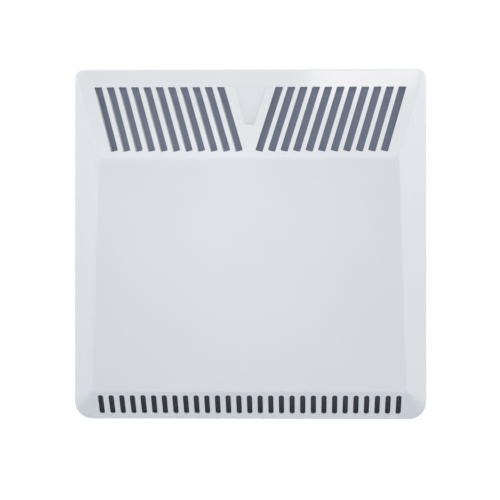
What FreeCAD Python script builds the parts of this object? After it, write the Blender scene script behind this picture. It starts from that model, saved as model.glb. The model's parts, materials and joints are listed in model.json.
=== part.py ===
"""Wall-hung electric convector heater, built as separate pieces. All sizes are in millimetres.

+X is the viewer's right, -Y is the front and +Z is up. The wall is the plane y = 0, and the origin is the
middle of the four screw holes in the wall rail. "out" is a distance from the wall into the room, so y = -out.
"""

import FreeCAD
import Part
import math
import os

Vector = FreeCAD.Vector

# Front panel: a pressed steel hood with a long top slope, a leaning face and bevelled sides and bottom.
FACE_W = 415.0
FACE_H = 413.0
BODY_DROP = 95.0
RIM_OUT = 63.0
RETURN_DEPTH = 14.0
RETURN_LIP = 14.0
RISE_TOP = 51.0
RISE_LOW = 38.0
UPPER_CREASE_DROP = 109.3
LOWER_CREASE_LIFT = 33.6
SIDE_RUN = 34.0
SHEET = 1.2
RIM_R = 4.0
UPPER_CREASE_R = 14.0
LOWER_CREASE_R = 5.0
HIP_R = 2.6
TOP_CORNER_R = 9.5
BOTTOM_CORNER_R = 21.0
FRONT_CORNER_R = 3.2
TOP_CORNER_RISE = 14.0
CORNER_SKIN = 0.05
CUTTER_SPARE = 10.0

# Outlet slots in the top slope, measured along the slope from the top edge, each with a lip folded back.
# Every lip leans to the right, so a view from the right shows the left group's lips and hides the others.
OUTLET_COUNT = 11
OUTLET_TOP = 24.0
OUTLET_BOTTOM = 111.2
OUTLET_W = 8.9
OUTLET_SIDE = 23.6
OUTLET_DENT_GAP = 10.3
OUTLET_SLANT = math.radians(15.2)
OUTLET_END_R = 1.2
LIP_DEPTH = 6.0
LIP_START = 1.5
LIP_RAMP = 14.0
LIP_CURVE_R = 12.0
LIP_LEAN = math.radians(15)

# The wedge-shaped dent between the two groups of outlet slots.
DENT_TOP = 24.0
DENT_BOTTOM = 75.3
DENT_TOP_W = 40.0
DENT_BOTTOM_W = 11.5
DENT_DEPTH = 7.0
DENT_R = 2.0
DENT_CORNER_R = 3.5
DENT_RUNOUT = 8.0

# Intake slots in the bottom bevel, measured along the bevel from the lower crease.
INTAKE_COUNT = 29
INTAKE_SIDE = 33.9
INTAKE_W = 6.1
INTAKE_START = 5.5
INTAKE_LENGTH = 35.1

# Rear casing: a tray with a flat shoulder that is screwed to the front panel's return lip from behind.
CASE_SHEET = 1.0
CASE_BACK_OUT = 16.0
CASE_BEND_R = 3.0
BEND_R = 1.5
SHOULDER_INSET = 2.0
TRAY_SIDE_INSET = 24.0
TRAY_END_INSET = 16.5
TRAY_R = 12.0
BEND_CLEAR = 0.5
BEAD_COUNT = 4
BEAD_PITCH = 80.0
BEAD_W = 9.0
BEAD_LENGTH = 150.0
BEAD_HEIGHT = 2.0
BEAD_DROP = 45.0
FLOOR_SLOT_W = 5.0
FLOOR_SLOT_LENGTH = 20.0
FLOOR_SLOT_COUNT = 20
FLOOR_SLOT_MARGIN = 16.0

# Wall rail with two hooks on its top edge.
RAIL_W = 300.0
RAIL_H = 44.0
RAIL_SHEET = 1.5
RAIL_LIP = 8.0
RAIL_R = 4.0
RAIL_HOLE_R = 2.75
RAIL_HOLE_DX = 250.0
RAIL_HOLE_DZ = 20.0
HOOK_DX = 190.0
HOOK_W = 30.0
HOOK_TIP = 12.0
HOOK_ROOT = 12.0
HOOK_TIP_R = 3.0
HOOK_GAP = 0.2
HOOK_TIP_GAP = 1.6
HANG_SLOT_SIDE = 3.0
HANG_SLOT_SPARE = 3.5
HANG_SLOT_R = 1.5

# Rubber buffers that keep the lower back off the wall.
BUFFER_R = 10.0
BUFFER_SIDE = 57.5
BUFFER_LIFT = 38.0
BUFFER_EDGE_R = 1.5
BUFFER_STEM_R = 3.0
BUFFER_STEM_GAP = 0.05
BUFFER_BARB_R = 4.4
BUFFER_BARB = 4.0

# Heating element: a finned aluminium bar on a sheathed rod, carried by two ceramic bushes.
ELEMENT_OUT = 58.0
ELEMENT_LIFT = 107.0
BAR_TUBE_R = 7.5
FIN_ANGLE = 38.0
FIN_REACH = 26.0
FIN_T = 2.2
FIN_RIB_COUNT = 3
FIN_RIB_H = 5.0
FIN_RIB_T = 1.2
ROD_R = 4.0
ROD_GAP = 0.05
ROD_OVERHANG = 22.0
PIN_R = 1.6
PIN_LENGTH = 10.0
BUSH_R = 8.0
BUSH_FLANGE_R = 11.0
BUSH_FLANGE_T = 3.0
BUSH_NOSE = 5.0
BUSH_GAP = 0.1
BRACKET_SHEET = 1.2
BRACKET_FOOT = 12.0
BRACKET_H = 44.0
BRACKET_REACH = 14.0
BRACKET_SETBACK = 9.0
BRACKET_MARGIN = 17.5

# Partition between the hot duct and the control space on the right.
CONTROL_SPACE = 46.0
PARTITION_TOP_LIFT = 225.0
PARTITION_SCREW_MARGIN = 28.0

# Overheat cut-out: a bimetal disc switch set through the partition and held by two rivets.
CUTOUT_LIFT = 172.0
CUTOUT_R = 8.0
CUTOUT_NOSE = 9.0
CUTOUT_CAP = 4.0
CUTOUT_GAP = 0.1
EAR_SPAN = 23.0
EAR_W = 9.0
EAR_T = 0.8
RIVET_R = 1.5
RIVET_GAP = 0.05
RIVET_HEAD_R = 2.7
RIVET_HEAD_T = 0.9
TAB_W = 6.3
TAB_T = 0.8
TAB_LENGTH = 8.0
TAB_SPAN = 9.0

# Heat shield behind the element, baffle and deflector behind the outlet slots, and guard behind the intake.
SHIELD_SHEET = 0.8
SHIELD_STAND = 8.0
SHIELD_FOOT = 12.0
SHIELD_LOW_LIFT = 54.0
SHIELD_TOP_LIFT = 246.0
SHIELD_SIDE_GAP = 4.0
SHIELD_SCREW_MARGIN = 24.0
BAFFLE_SHEET = 0.8
BAFFLE_LIFT = 288.0
BAFFLE_EDGE_GAP = 0.6
BAFFLE_SCREW_MARGIN = 18.0
RAMP_DROP = 22.0
RAMP_FOOT = 12.0
DEFLECTOR_SHEET = 0.8
DEFLECTOR_FLANGE = 10.0
DEFLECTOR_GAP = 10.5
DEFLECTOR_SIDE_GAP = 3.5
GUARD_SHEET = 0.8
GUARD_FLANGE = 9.0
GUARD_LIFT = 4.5
GUARD_GAP = 8.0

# Side controls: a fascia on the tray's right wall with a knob, two rockers and a lamp.
FASCIA_T = 2.4
FASCIA_LIFT = 46.0
FASCIA_EDGE_GAP = 1.0
FASCIA_R = 4.0
FASCIA_ROUND = 1.0
FASCIA_END_LAP = 11.0
FASCIA_SIDE_LAP = 3.5
BOX_WALL = 1.6
BOX_DEPTH = 40.0
BOX_REACH = 12.0
BOX_BOSS = 8.0
BOX_BOSS_DEPTH = 10.0
KNOB_UP = 118.0
KNOB_TOP_MARGIN = 32.0
KNOB_R = 11.5
KNOB_SKIRT_R = 12.4
KNOB_SKIRT_T = 2.0
KNOB_HEIGHT = 14.0
KNOB_STAND = 0.6
KNOB_EDGE_R = 1.2
KNOB_HOLLOW_R = 9.4
KNOB_HOLLOW_DEPTH = 4.0
KNOB_FLUTES = 24
KNOB_FLUTE_R = 0.9
KNOB_MARK_W = 1.8
KNOB_MARK_DEPTH = 0.6
SPINDLE_R = 3.0
SPINDLE_GAP = 0.05
SPINDLE_IN_BODY = 10.0
SPINDLE_IN_KNOB = 8.0
SPINDLE_FLAT = 0.8
BUSHING_R = 4.6
BUSHING_GAP = 0.1
NUT_FLATS = 13.0
NUT_T = 2.0
STAT_W = 20.0
STAT_H = 30.0
STAT_DEPTH = 22.0
STAT_EDGE_R = 1.5
POWER_UP = 56.0
BOOST_UP = 30.0
ROCKER_W = 10.0
ROCKER_L = 16.4
ROCKER_CREST = 3.4
ROCKER_DIP = 1.2
ROCKER_KEEL = 3.4
ROCKER_KEEL_L = 6.0
ROCKER_SKIRT = 0.8
ROCKER_TILT = 11.0
ROCKER_EDGE_R = 0.6
ROCKER_GAP = 0.4
ROCKER_PIVOT_DEPTH = 2.4
TRUNNION_R = 1.2
TRUNNION_GAP = 0.05
TRUNNION_LENGTH = 0.8
BEZEL_MARGIN = 1.4
BEZEL_T = 1.8
SWITCH_WALL = 1.1
SWITCH_DEPTH = 18.0
SWITCH_GAP = 0.2
LAMP_UP = 84.0
LAMP_R = 3.0
LAMP_FLANGE_R = 4.2
LAMP_DOME = 1.8
LAMP_ROUND = 1.4
LAMP_LENGTH = 14.0
LAMP_GAP = 0.1

# Terminal block, cable gland and earth stud in the control space.
BLOCK_GAP = 1.0
BLOCK_W = 26.0
BLOCK_D = 16.0
BLOCK_H = 16.0
BLOCK_LIFT = 46.0
BLOCK_POLES = 3
BLOCK_GROOVE_W = 1.2
BLOCK_GROOVE_DEPTH = 5.0
BLOCK_SCREW_R = 2.2
BLOCK_SCREW_DEPTH = 4.0
BLOCK_SCREW_SINK = 0.8
BLOCK_SCREW_GAP = 0.1
GLAND_INSET = 30.5
GLAND_OUT = 34.0
GLAND_R = 8.0
GLAND_THREAD = 9.0
GLAND_FLANGE_R = 10.5
GLAND_FLANGE_T = 2.5
GLAND_NOSE = 7.0
GLAND_NOSE_R = 6.5
GLAND_BORE_R = 3.7
GLAND_GAP = 0.1
GLAND_NUT_FLATS = 21.0
GLAND_NUT_T = 4.0
STUD_INSET = 10.5
STUD_LIFT = 112.0
STUD_R = 2.0
STUD_LENGTH = 12.0
STUD_NUT_FLATS = 7.0
STUD_NUT_T = 3.2
STUD_GAP = 0.1
TAG_R = 4.6
TAG_T = 0.8
TAG_TAIL = 9.0
TAG_TAIL_W = 4.0

# Insulated leads and the grommet in the partition.
LEAD_R = 1.3
LEAD_BEND_R = 7.0
LEAD_HOLE_R = 2.2
LEAD_CLEAR = 0.1
GROMMET_R = 4.0
GROMMET_FLANGE_R = 5.5
GROMMET_FLANGE_T = 1.2
GROMMET_GAP = 0.1
GROMMET_BORE_R = 1.4
LEAD_RUN_LIFT = 34.0
LEAD_RISE = 10.0

# Screws, all of one size, with a domed head and a cross recess.
SCREW_R = 1.75
SCREW_GAP = 0.1
SCREW_HEAD_R = 3.6
SCREW_HEAD_T = 2.3
SCREW_HEAD_ROUND = 1.4
SCREW_LENGTH = 8.0
SCREW_CROSS_W = 0.9
SCREW_CROSS_L = 4.2
SCREW_CROSS_DEPTH = 1.1
CASING_SCREW_EDGE = 8.5
CASING_SCREW_DX = 150.0
CASING_SCREW_DZ = 140.0

# A slot's end radius as a share of its half width, and how near counts as the same place.
FULL_ROUND = 0.9999
NEAR = 1e-4

# Places worked out from the driving sizes.
BODY_MID = -BODY_DROP
FACE_TOP = BODY_MID + FACE_H / 2
FACE_BOTTOM = BODY_MID - FACE_H / 2
RETURN_OUT = RIM_OUT - RETURN_DEPTH
UPPER_CREASE_Z = FACE_TOP - UPPER_CREASE_DROP
LOWER_CREASE_Z = FACE_BOTTOM + LOWER_CREASE_LIFT
SIDE_SLOPE = SIDE_RUN / RISE_TOP
TOP_SLOPE = UPPER_CREASE_DROP / RISE_TOP
BOTTOM_SLOPE = LOWER_CREASE_LIFT / RISE_LOW
CUTTER_RISE = RISE_TOP + CUTTER_SPARE
TOP_TILT = math.atan2(RISE_TOP, UPPER_CREASE_DROP)
BEVEL_TILT = math.atan2(RISE_LOW, LOWER_CREASE_LIFT)
OUTLET_LENGTH = (OUTLET_BOTTOM - OUTLET_TOP) / math.cos(OUTLET_SLANT)
OUTLET_OUTER_X = FACE_W / 2 - OUTLET_SIDE
OUTLET_INNER_X = DENT_TOP_W / 2 + OUTLET_DENT_GAP
OUTLET_PITCH = (OUTLET_OUTER_X - OUTLET_W - OUTLET_INNER_X) / (OUTLET_COUNT - 1)
INTAKE_PITCH = (FACE_W - 2 * INTAKE_SIDE) / (INTAKE_COUNT - 1)
TRAY_HALF_W = FACE_W / 2 - TRAY_SIDE_INSET
TRAY_TOP = FACE_TOP - TRAY_END_INSET
TRAY_BOTTOM = FACE_BOTTOM + TRAY_END_INSET
TRAY_FLOOR_Z = TRAY_BOTTOM + CASE_SHEET
TRAY_WALL_X = TRAY_HALF_W - CASE_SHEET
CASE_FLOOR_OUT = CASE_BACK_OUT + CASE_SHEET
SHOULDER_BACK_OUT = RETURN_OUT - CASE_SHEET
BEND_ROOM = CASE_BEND_R + BEND_CLEAR
HOOK_TOP = RAIL_H / 2
RAIL_TOP = HOOK_TOP - RAIL_SHEET - BEND_R
HANG_SLOT_TOP = HOOK_TOP + HOOK_GAP
HANG_SLOT_H = HOOK_TIP + RAIL_SHEET + HANG_SLOT_SPARE
HOOK_OUT = CASE_FLOOR_OUT + HOOK_TIP_GAP + RAIL_SHEET
ELEMENT_Z = FACE_BOTTOM + ELEMENT_LIFT
BOX_LEFT_X = TRAY_WALL_X - BOX_DEPTH
PARTITION_FAR_X = BOX_LEFT_X - CONTROL_SPACE
PARTITION_X = PARTITION_FAR_X - BRACKET_SHEET
BRACKET_X = BRACKET_MARGIN - TRAY_WALL_X
BAR_LEFT_X = BRACKET_X + BRACKET_SETBACK
BAR_RIGHT_X = PARTITION_X - BRACKET_SETBACK
FLOOR_SLOT_PITCH = (PARTITION_X - BRACKET_X - 2 * FLOOR_SLOT_MARGIN) / (FLOOR_SLOT_COUNT - 1)
LEFT_PIN_X = BAR_LEFT_X - ROD_OVERHANG - PIN_LENGTH
RIGHT_PIN_X = BAR_RIGHT_X + ROD_OVERHANG + PIN_LENGTH
CUTOUT_TAB_X = PARTITION_FAR_X + EAR_T + CUTOUT_CAP + TAB_LENGTH
PARTITION_BOTTOM = TRAY_FLOOR_Z + BEND_ROOM
PARTITION_TOP = FACE_BOTTOM + PARTITION_TOP_LIFT
ARM_OUT = ELEMENT_OUT + BRACKET_REACH
CUTOUT_Z = FACE_BOTTOM + CUTOUT_LIFT
SHIELD_LEFT_X = BRACKET_X + BRACKET_SHEET + SHIELD_SIDE_GAP
SHIELD_RIGHT_X = PARTITION_X - SHIELD_SIDE_GAP
SHIELD_BOTTOM = FACE_BOTTOM + SHIELD_LOW_LIFT
SHIELD_TOP = FACE_BOTTOM + SHIELD_TOP_LIFT
BAFFLE_BOTTOM = FACE_BOTTOM + BAFFLE_LIFT
BAFFLE_TOP = FACE_TOP - RETURN_LIP - BAFFLE_EDGE_GAP
BAFFLE_HALF_W = FACE_W / 2 - RETURN_LIP - BAFFLE_EDGE_GAP
FASCIA_BOTTOM = FACE_BOTTOM + FASCIA_LIFT
FASCIA_TOP = FASCIA_BOTTOM + KNOB_UP + KNOB_TOP_MARGIN
FASCIA_BACK_OUT = CASE_BACK_OUT + CASE_BEND_R + CASE_SHEET + FASCIA_EDGE_GAP
FASCIA_FRONT_OUT = SHOULDER_BACK_OUT - FASCIA_EDGE_GAP
FASCIA_X = TRAY_HALF_W + FASCIA_T
CONTROL_OUT = (FASCIA_BACK_OUT + FASCIA_FRONT_OUT) / 2
BOX_BACK_OUT = CASE_FLOOR_OUT + BEND_ROOM
BOX_FRONT_OUT = SHOULDER_BACK_OUT + BOX_REACH
KNOB_Z = FASCIA_BOTTOM + KNOB_UP
LAMP_Z = FASCIA_BOTTOM + LAMP_UP
POWER_Z = FASCIA_BOTTOM + POWER_UP
BOOST_Z = FASCIA_BOTTOM + BOOST_UP
STAT_BACK_X = TRAY_WALL_X - STAT_DEPTH
ROCKER_X = FASCIA_X + BEZEL_T - ROCKER_PIVOT_DEPTH
CUP_HALF_L = math.hypot(ROCKER_L / 2, ROCKER_CREST) + ROCKER_GAP
CUP_HALF_W = ROCKER_W / 2 + ROCKER_GAP
CUP_DEPTH = ROCKER_PIVOT_DEPTH + math.hypot(ROCKER_KEEL, ROCKER_KEEL_L / 2) + ROCKER_GAP
SWITCH_HALF_L = CUP_HALF_L + SWITCH_WALL
SWITCH_HALF_W = CUP_HALF_W + SWITCH_WALL
SWITCH_BACK_X = FASCIA_X - SWITCH_DEPTH
BLOCK_X = PARTITION_FAR_X + BRACKET_FOOT + BLOCK_GAP + BLOCK_W / 2
BLOCK_BOTTOM = FACE_BOTTOM + BLOCK_LIFT
BLOCK_TOP = BLOCK_BOTTOM + BLOCK_H
BLOCK_POLE = BLOCK_W / BLOCK_POLES
GLAND_X = TRAY_WALL_X - GLAND_INSET
STUD_X = BOX_LEFT_X - STUD_INSET
STUD_Z = FACE_BOTTOM + STUD_LIFT
LEAD_BEND_X = (CUTOUT_TAB_X + BOX_LEFT_X) / 2
LEAD_RUN_Z = FACE_BOTTOM + LEAD_RUN_LIFT
LEAD_RUN_OUT = ELEMENT_OUT + TAB_SPAN / 2
SWITCH_TAB_Z = POWER_Z - TAB_SPAN / 2
SCREW_HOLE_R = SCREW_R + SCREW_GAP
TO_RIGHT = Vector(1, 0, 0)
TO_FRONT = Vector(0, -1, 0)
TO_WALL = Vector(0, 1, 0)
UP = Vector(0, 0, 1)
DOWN = Vector(0, 0, -1)


def point(x, out, z):
    """A point in space, with out as its distance from the wall."""
    return Vector(x, -out, z)


def inset_corners(corners, distances):
    """Moves each side of a 2D polygon inwards by its own distance and returns the new corners."""
    count = len(corners)
    area = sum(corners[i - 1][0] * corners[i][1] - corners[i][0] * corners[i - 1][1] for i in range(count))
    turn = 1.0 if area > 0 else -1.0
    lines = []
    for i, distance in enumerate(distances):
        (ax, ay), (bx, by) = corners[i], corners[(i + 1) % count]
        length = math.hypot(bx - ax, by - ay)
        dx, dy = (bx - ax) / length, (by - ay) / length
        lines.append((ax - turn * dy * distance, ay + turn * dx * distance, dx, dy))
    moved = []
    for i in range(count):
        px, py, pdx, pdy = lines[i - 1]
        qx, qy, qdx, qdy = lines[i]
        along = ((qx - px) * qdy - (qy - py) * qdx) / (pdx * qdy - pdy * qdx)
        moved.append((px + pdx * along, py + pdy * along))
    return moved


def strip_corners(path, thickness):
    """The outline of a bent strip: a 2D path and its copy moved to its left by the sheet's thickness."""
    lines = []
    for (ax, ay), (bx, by) in zip(path, path[1:]):
        length = math.hypot(bx - ax, by - ay)
        dx, dy = (bx - ax) / length, (by - ay) / length
        lines.append((ax - dy * thickness, ay + dx * thickness, dx, dy, length))
    moved = [lines[0][:2]]
    for (px, py, pdx, pdy, _), (qx, qy, qdx, qdy, _) in zip(lines, lines[1:]):
        along = ((qx - px) * qdy - (qy - py) * qdx) / (pdx * qdy - pdy * qdx)
        moved.append((px + pdx * along, py + pdy * along))
    x, y, dx, dy, length = lines[-1]
    moved.append((x + dx * length, y + dy * length))
    return list(path) + moved[::-1]


def bent_strip(path, thickness):
    """The corners of a bent strip's outline and the radii of its bends, tight inside and wide outside."""
    near, far = [0], [0]
    for (ax, ay), (bx, by), (cx, cy) in zip(path, path[1:], path[2:]):
        turns_left = (bx - ax) * (cy - by) > (by - ay) * (cx - bx)
        near.append(BEND_R + thickness if turns_left else BEND_R)
        far.append(BEND_R if turns_left else BEND_R + thickness)
    return strip_corners(path, thickness), near + [0, 0] + far[:0:-1] + [0]


def rounded_wire(corners, radii, place):
    """A closed wire through 2D corners, each rounded by its radius. place turns (a, b) into a 3D point."""
    runs = []
    for i, radius in enumerate(radii):
        here = Vector(*corners[i], 0)
        back = (Vector(*corners[i - 1], 0) - here).normalize()
        ahead = (Vector(*corners[(i + 1) % len(corners)], 0) - here).normalize()
        if radius <= 0:
            runs.append((here, None, here))
            continue
        half = math.acos(max(-1.0, min(1.0, back.dot(ahead)))) / 2
        middle = (back + ahead).normalize()
        touch = radius / math.tan(half)
        top = here + middle * (radius / math.sin(half) - radius)
        runs.append((here + back * touch, top, here + ahead * touch))
    edges = []
    for i, (start, top, end) in enumerate(runs):
        before = runs[i - 1][2]
        if before.distanceToPoint(start) > NEAR:
            edges.append(Part.LineSegment(place(before.x, before.y), place(start.x, start.y)).toShape())
        if top is not None:
            arc = Part.Arc(place(start.x, start.y), place(top.x, top.y), place(end.x, end.y))
            edges.append(arc.toShape())
    return Part.Wire(edges)


def prism(corners, radii, place, travel):
    """A rounded 2D outline swept along a straight vector. One radius stands for every corner."""
    if not isinstance(radii, (list, tuple)):
        radii = [radii] * len(corners)
    return Part.Face(rounded_wire(corners, radii, place)).extrude(travel)


def rectangle(a0, a1, b0, b1):
    """The corners of a rectangle between two limits on each of its axes."""
    return [(a0, b0), (a1, b0), (a1, b1), (a0, b1)]


def slot(width, length):
    """The corners of a slot centred on the origin, long in its second axis, and the radius of its ends."""
    return rectangle(-width / 2, width / 2, -length / 2, length / 2), width / 2 * FULL_ROUND


def box(x0, x1, out0, out1, z0, z1):
    """An upright block between two limits on each axis."""
    return Part.makeBox(x1 - x0, out1 - out0, z1 - z0, point(x0, out1, z0))


def plate(corners, radii, out0, out1):
    """An outline of (x, z) corners parallel to the wall, thick from out0 to out1."""
    return prism(corners, radii, lambda x, z: point(x, out0, z), TO_FRONT * (out1 - out0))


def side_plate(corners, radii, x0, x1):
    """An outline of (out, z) corners seen from the side, thick from x0 to x1."""
    return prism(corners, radii, lambda out, z: point(x0, out, z), TO_RIGHT * (x1 - x0))


def floor_plate(corners, radii, z0, z1):
    """An outline of (x, out) corners seen from above, thick from z0 to z1."""
    return prism(corners, radii, lambda x, out: point(x, out, z0), UP * (z1 - z0))


def rod(start, direction, radius, length):
    """A round bar from a point."""
    return Part.makeCylinder(radius, length, start, direction)


def hexagon(centre, direction, flats, thickness, bore_r):
    """A hexagon nut that starts at a point and is thick along a direction."""
    corners = [Vector(flats / math.sqrt(3), 0, 0)]
    turn = FreeCAD.Rotation(UP, 60)
    for _ in range(5):
        corners.append(turn.multVec(corners[-1]))
    nut = Part.Face(Part.makePolygon(corners + corners[:1])).extrude(UP * thickness)
    nut = nut.cut(Part.makeCylinder(bore_r, thickness))
    nut.Placement = FreeCAD.Placement(centre, FreeCAD.Rotation(UP, direction))
    return nut


def round_edges(shape, radius, chosen):
    """Rounds the edges of a shape for which chosen says yes."""
    return shape.makeFillet(radius, [edge for edge in shape.Edges if chosen(edge.BoundBox)])


def at_out(out):
    """Picks edges that lie at one distance from the wall."""
    return lambda span: abs(span.YMin + out) < NEAR and abs(span.YMax + out) < NEAR


def at_x(x):
    """Picks edges that lie at one place from left to right."""
    return lambda span: abs(span.XMin - x) < NEAR and abs(span.XMax - x) < NEAR


def on_slope(x, down, above=0.0):
    """A point by the top slope: down is measured from the top edge, above is square to the slope."""
    out = RIM_OUT + down * math.sin(TOP_TILT) + above * math.cos(TOP_TILT)
    return point(x, out, FACE_TOP - down * math.cos(TOP_TILT) + above * math.sin(TOP_TILT))


def on_bevel(x, down, above=0.0):
    """A point by the bottom bevel: down is measured from the lower crease, above is square to the bevel."""
    out = RIM_OUT + RISE_LOW - down * math.sin(BEVEL_TILT) + above * math.cos(BEVEL_TILT)
    return point(x, out, LOWER_CREASE_Z - down * math.cos(BEVEL_TILT) - above * math.sin(BEVEL_TILT))


def panel_outline(inset):
    """The front panel's outline moved in by a distance, and its corner radii."""
    half = FACE_W / 2 - inset
    corners = rectangle(-half, half, FACE_BOTTOM + inset, FACE_TOP - inset)
    bottom_r = max(BOTTOM_CORNER_R - inset, SHEET)
    top_r = max(TOP_CORNER_R - inset, SHEET)
    return corners, [bottom_r, bottom_r, top_r, top_r]


def hood_section(rise, top_r, bottom_r, inset):
    """The hood's outline at a height above the rim, a hair outside its flat sides."""
    half = FACE_W / 2 - SIDE_SLOPE * rise - inset * math.hypot(1, SIDE_SLOPE) + CORNER_SKIN
    top = FACE_TOP - TOP_SLOPE * rise - inset * math.hypot(1, TOP_SLOPE) + CORNER_SKIN
    bottom = FACE_BOTTOM + BOTTOM_SLOPE * rise + inset * math.hypot(1, BOTTOM_SLOPE) - CORNER_SKIN
    shift = CORNER_SKIN - inset
    radii = [bottom_r + shift, bottom_r + shift, top_r + shift, top_r + shift]
    return rounded_wire(rectangle(-half, half, bottom, top), radii, lambda x, z: point(x, RIM_OUT + rise, z))


def corner_cutter(inset, back_out):
    """A hood of the same slopes whose corners are cones, wide at the rim and tight at the face."""
    fade = (BOTTOM_CORNER_R - FRONT_CORNER_R) / RISE_LOW
    stations = [
        (0.0, TOP_CORNER_R, BOTTOM_CORNER_R),
        (TOP_CORNER_RISE, FRONT_CORNER_R, BOTTOM_CORNER_R - fade * TOP_CORNER_RISE),
        (RISE_LOW, FRONT_CORNER_R, FRONT_CORNER_R),
        (CUTTER_RISE, FRONT_CORNER_R, FRONT_CORNER_R),
    ]
    cone = Part.makeLoft([hood_section(*station, inset) for station in stations], True, True)
    corners, radii = panel_outline(inset - CORNER_SKIN)
    cutter = cone.fuse(plate(corners, radii, back_out, RIM_OUT)).removeSplitter()
    if inset > 0:
        return cutter
    return round_edges(cutter, RIM_R, at_out(RIM_OUT))


def hood(inset, back_out):
    """The hood's solid form, with every wall moved in by inset and its back at back_out."""
    step = back_out - RETURN_OUT
    profile = [
        (RETURN_OUT, FACE_TOP),
        (RIM_OUT, FACE_TOP),
        (RIM_OUT + RISE_TOP, UPPER_CREASE_Z),
        (RIM_OUT + RISE_LOW, LOWER_CREASE_Z),
        (RIM_OUT, FACE_BOTTOM),
        (RETURN_OUT, FACE_BOTTOM),
    ]
    profile = inset_corners(profile, [inset] * 5 + [step])
    profile_radii = [0, RIM_R - inset, UPPER_CREASE_R - inset, LOWER_CREASE_R - inset, RIM_R - inset, 0]
    half = FACE_W / 2
    tip = half - SIDE_SLOPE * CUTTER_RISE
    plan = [
        (-half, RETURN_OUT),
        (half, RETURN_OUT),
        (half, RIM_OUT),
        (tip, RIM_OUT + CUTTER_RISE),
        (-tip, RIM_OUT + CUTTER_RISE),
        (-half, RIM_OUT),
    ]
    plan = inset_corners(plan, [step, inset, inset, 0, inset, inset])
    plan_radii = [0, 0, RIM_R - inset, 0, 0, RIM_R - inset]
    side_view = side_plate(profile, profile_radii, -FACE_W, FACE_W)
    top_view = floor_plate(plan, plan_radii, FACE_BOTTOM - FACE_H, FACE_TOP + FACE_H)
    body = side_view.common(top_view)
    body = round_edges(body, HIP_R - inset, lambda span: is_hip(span, back_out))
    return body.common(corner_cutter(inset, back_out))


def is_hip(span, back_out):
    """True for the edges between a side of the hood and its top, face or bottom."""
    on_back = span.YMin > -back_out - NEAR
    across = span.XMin < 0 < span.XMax
    upright = span.XLength < NEAR and span.YLength < NEAR
    return not (on_back or across or upright)


def outlet_corners(side, index):
    """One outlet slot's corners, as (x, down) on the top slope: a level top end and a square bottom end."""
    outer = OUTLET_OUTER_X - index * OUTLET_PITCH
    drift = (OUTLET_BOTTOM - OUTLET_TOP) * math.tan(OUTLET_SLANT)
    across = OUTLET_W * math.cos(OUTLET_SLANT)
    low_outer = (outer - drift, OUTLET_BOTTOM)
    low_inner = (low_outer[0] - across * math.cos(OUTLET_SLANT),
                 low_outer[1] - across * math.sin(OUTLET_SLANT))
    corners = [(outer, OUTLET_TOP), (outer - OUTLET_W, OUTLET_TOP), low_inner, low_outer]
    return [(side * x, down) for x, down in corners]


def outlet_lip(side, index):
    """The lip folded back from a slot's outer edge. It starts shallow at the top and leans to the right."""
    outer = OUTLET_OUTER_X - index * OUTLET_PITCH

    def place(along, depth):
        x = side * (outer - along * math.sin(OUTLET_SLANT))
        edge = on_slope(x, OUTLET_TOP + along * math.cos(OUTLET_SLANT))
        return edge + (TO_WALL + TO_RIGHT * math.tan(LIP_LEAN)) * depth

    corners = rectangle(LIP_START, OUTLET_LENGTH, SHEET / 2, LIP_DEPTH)
    corners[-1] = (LIP_START + LIP_RAMP, LIP_DEPTH)
    return prism(corners, [0, 0, 0, LIP_CURVE_R], place, TO_RIGHT * side * SHEET)


def dent(grow):
    """The hollow of the dent, or with grow the outside of its wall. Its floor rises out of the slope."""
    reach = DENT_DEPTH + SHEET
    length = DENT_BOTTOM - DENT_TOP
    top = DENT_TOP - DENT_RUNOUT
    top_half = DENT_TOP_W / 2 + DENT_RUNOUT * (DENT_TOP_W - DENT_BOTTOM_W) / 2 / length
    outline = [
        (-top_half, top),
        (top_half, top),
        (DENT_BOTTOM_W / 2, DENT_BOTTOM),
        (-DENT_BOTTOM_W / 2, DENT_BOTTOM),
    ]
    outline = inset_corners(outline, [-grow] * 4)
    runout_rise = DENT_RUNOUT * DENT_DEPTH / length
    depth = [(top, runout_rise), (DENT_BOTTOM, -DENT_DEPTH), (DENT_BOTTOM, reach), (top, reach)]
    depth = inset_corners(depth, [-grow, -grow, 0, -grow])
    down_hole = on_slope(0, 0, -2 * reach) - on_slope(0, 0, reach)
    corner_r = DENT_CORNER_R + grow
    column = prism(outline, [0, 0, corner_r, corner_r], lambda x, down: on_slope(x, down, reach), down_hole)
    wedge = prism(depth, 0, lambda down, above: on_slope(-DENT_TOP_W, down, above), TO_RIGHT * 2 * DENT_TOP_W)
    hollow = column.common(wedge)
    floor = min(hollow.Faces, key=lambda face: slope_height(face.CenterOfMass))
    edges = [edge for edge in floor.Edges if slope_drop(edge.CenterOfMass) > DENT_TOP]
    return hollow.makeFillet(DENT_R + grow, edges)


def slope_height(place):
    """How far a point stands above the top slope."""
    return (place - on_slope(0, 0)).dot(on_slope(0, 0, 1) - on_slope(0, 0))


def slope_drop(place):
    """How far a point lies down the top slope from the top edge."""
    return (place - on_slope(0, 0)).dot(on_slope(0, 1) - on_slope(0, 0))


def outlet_slots():
    """The slanted slots, in two mirrored groups."""
    travel = on_slope(0, 0, -LIP_DEPTH) - on_slope(0, 0, LIP_DEPTH)
    slots = []
    for side in (-1, 1):
        for index in range(OUTLET_COUNT):
            corners = outlet_corners(side, index)
            slots.append(prism(corners, OUTLET_END_R, lambda x, down: on_slope(x, down, LIP_DEPTH), travel))
    return slots


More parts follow.
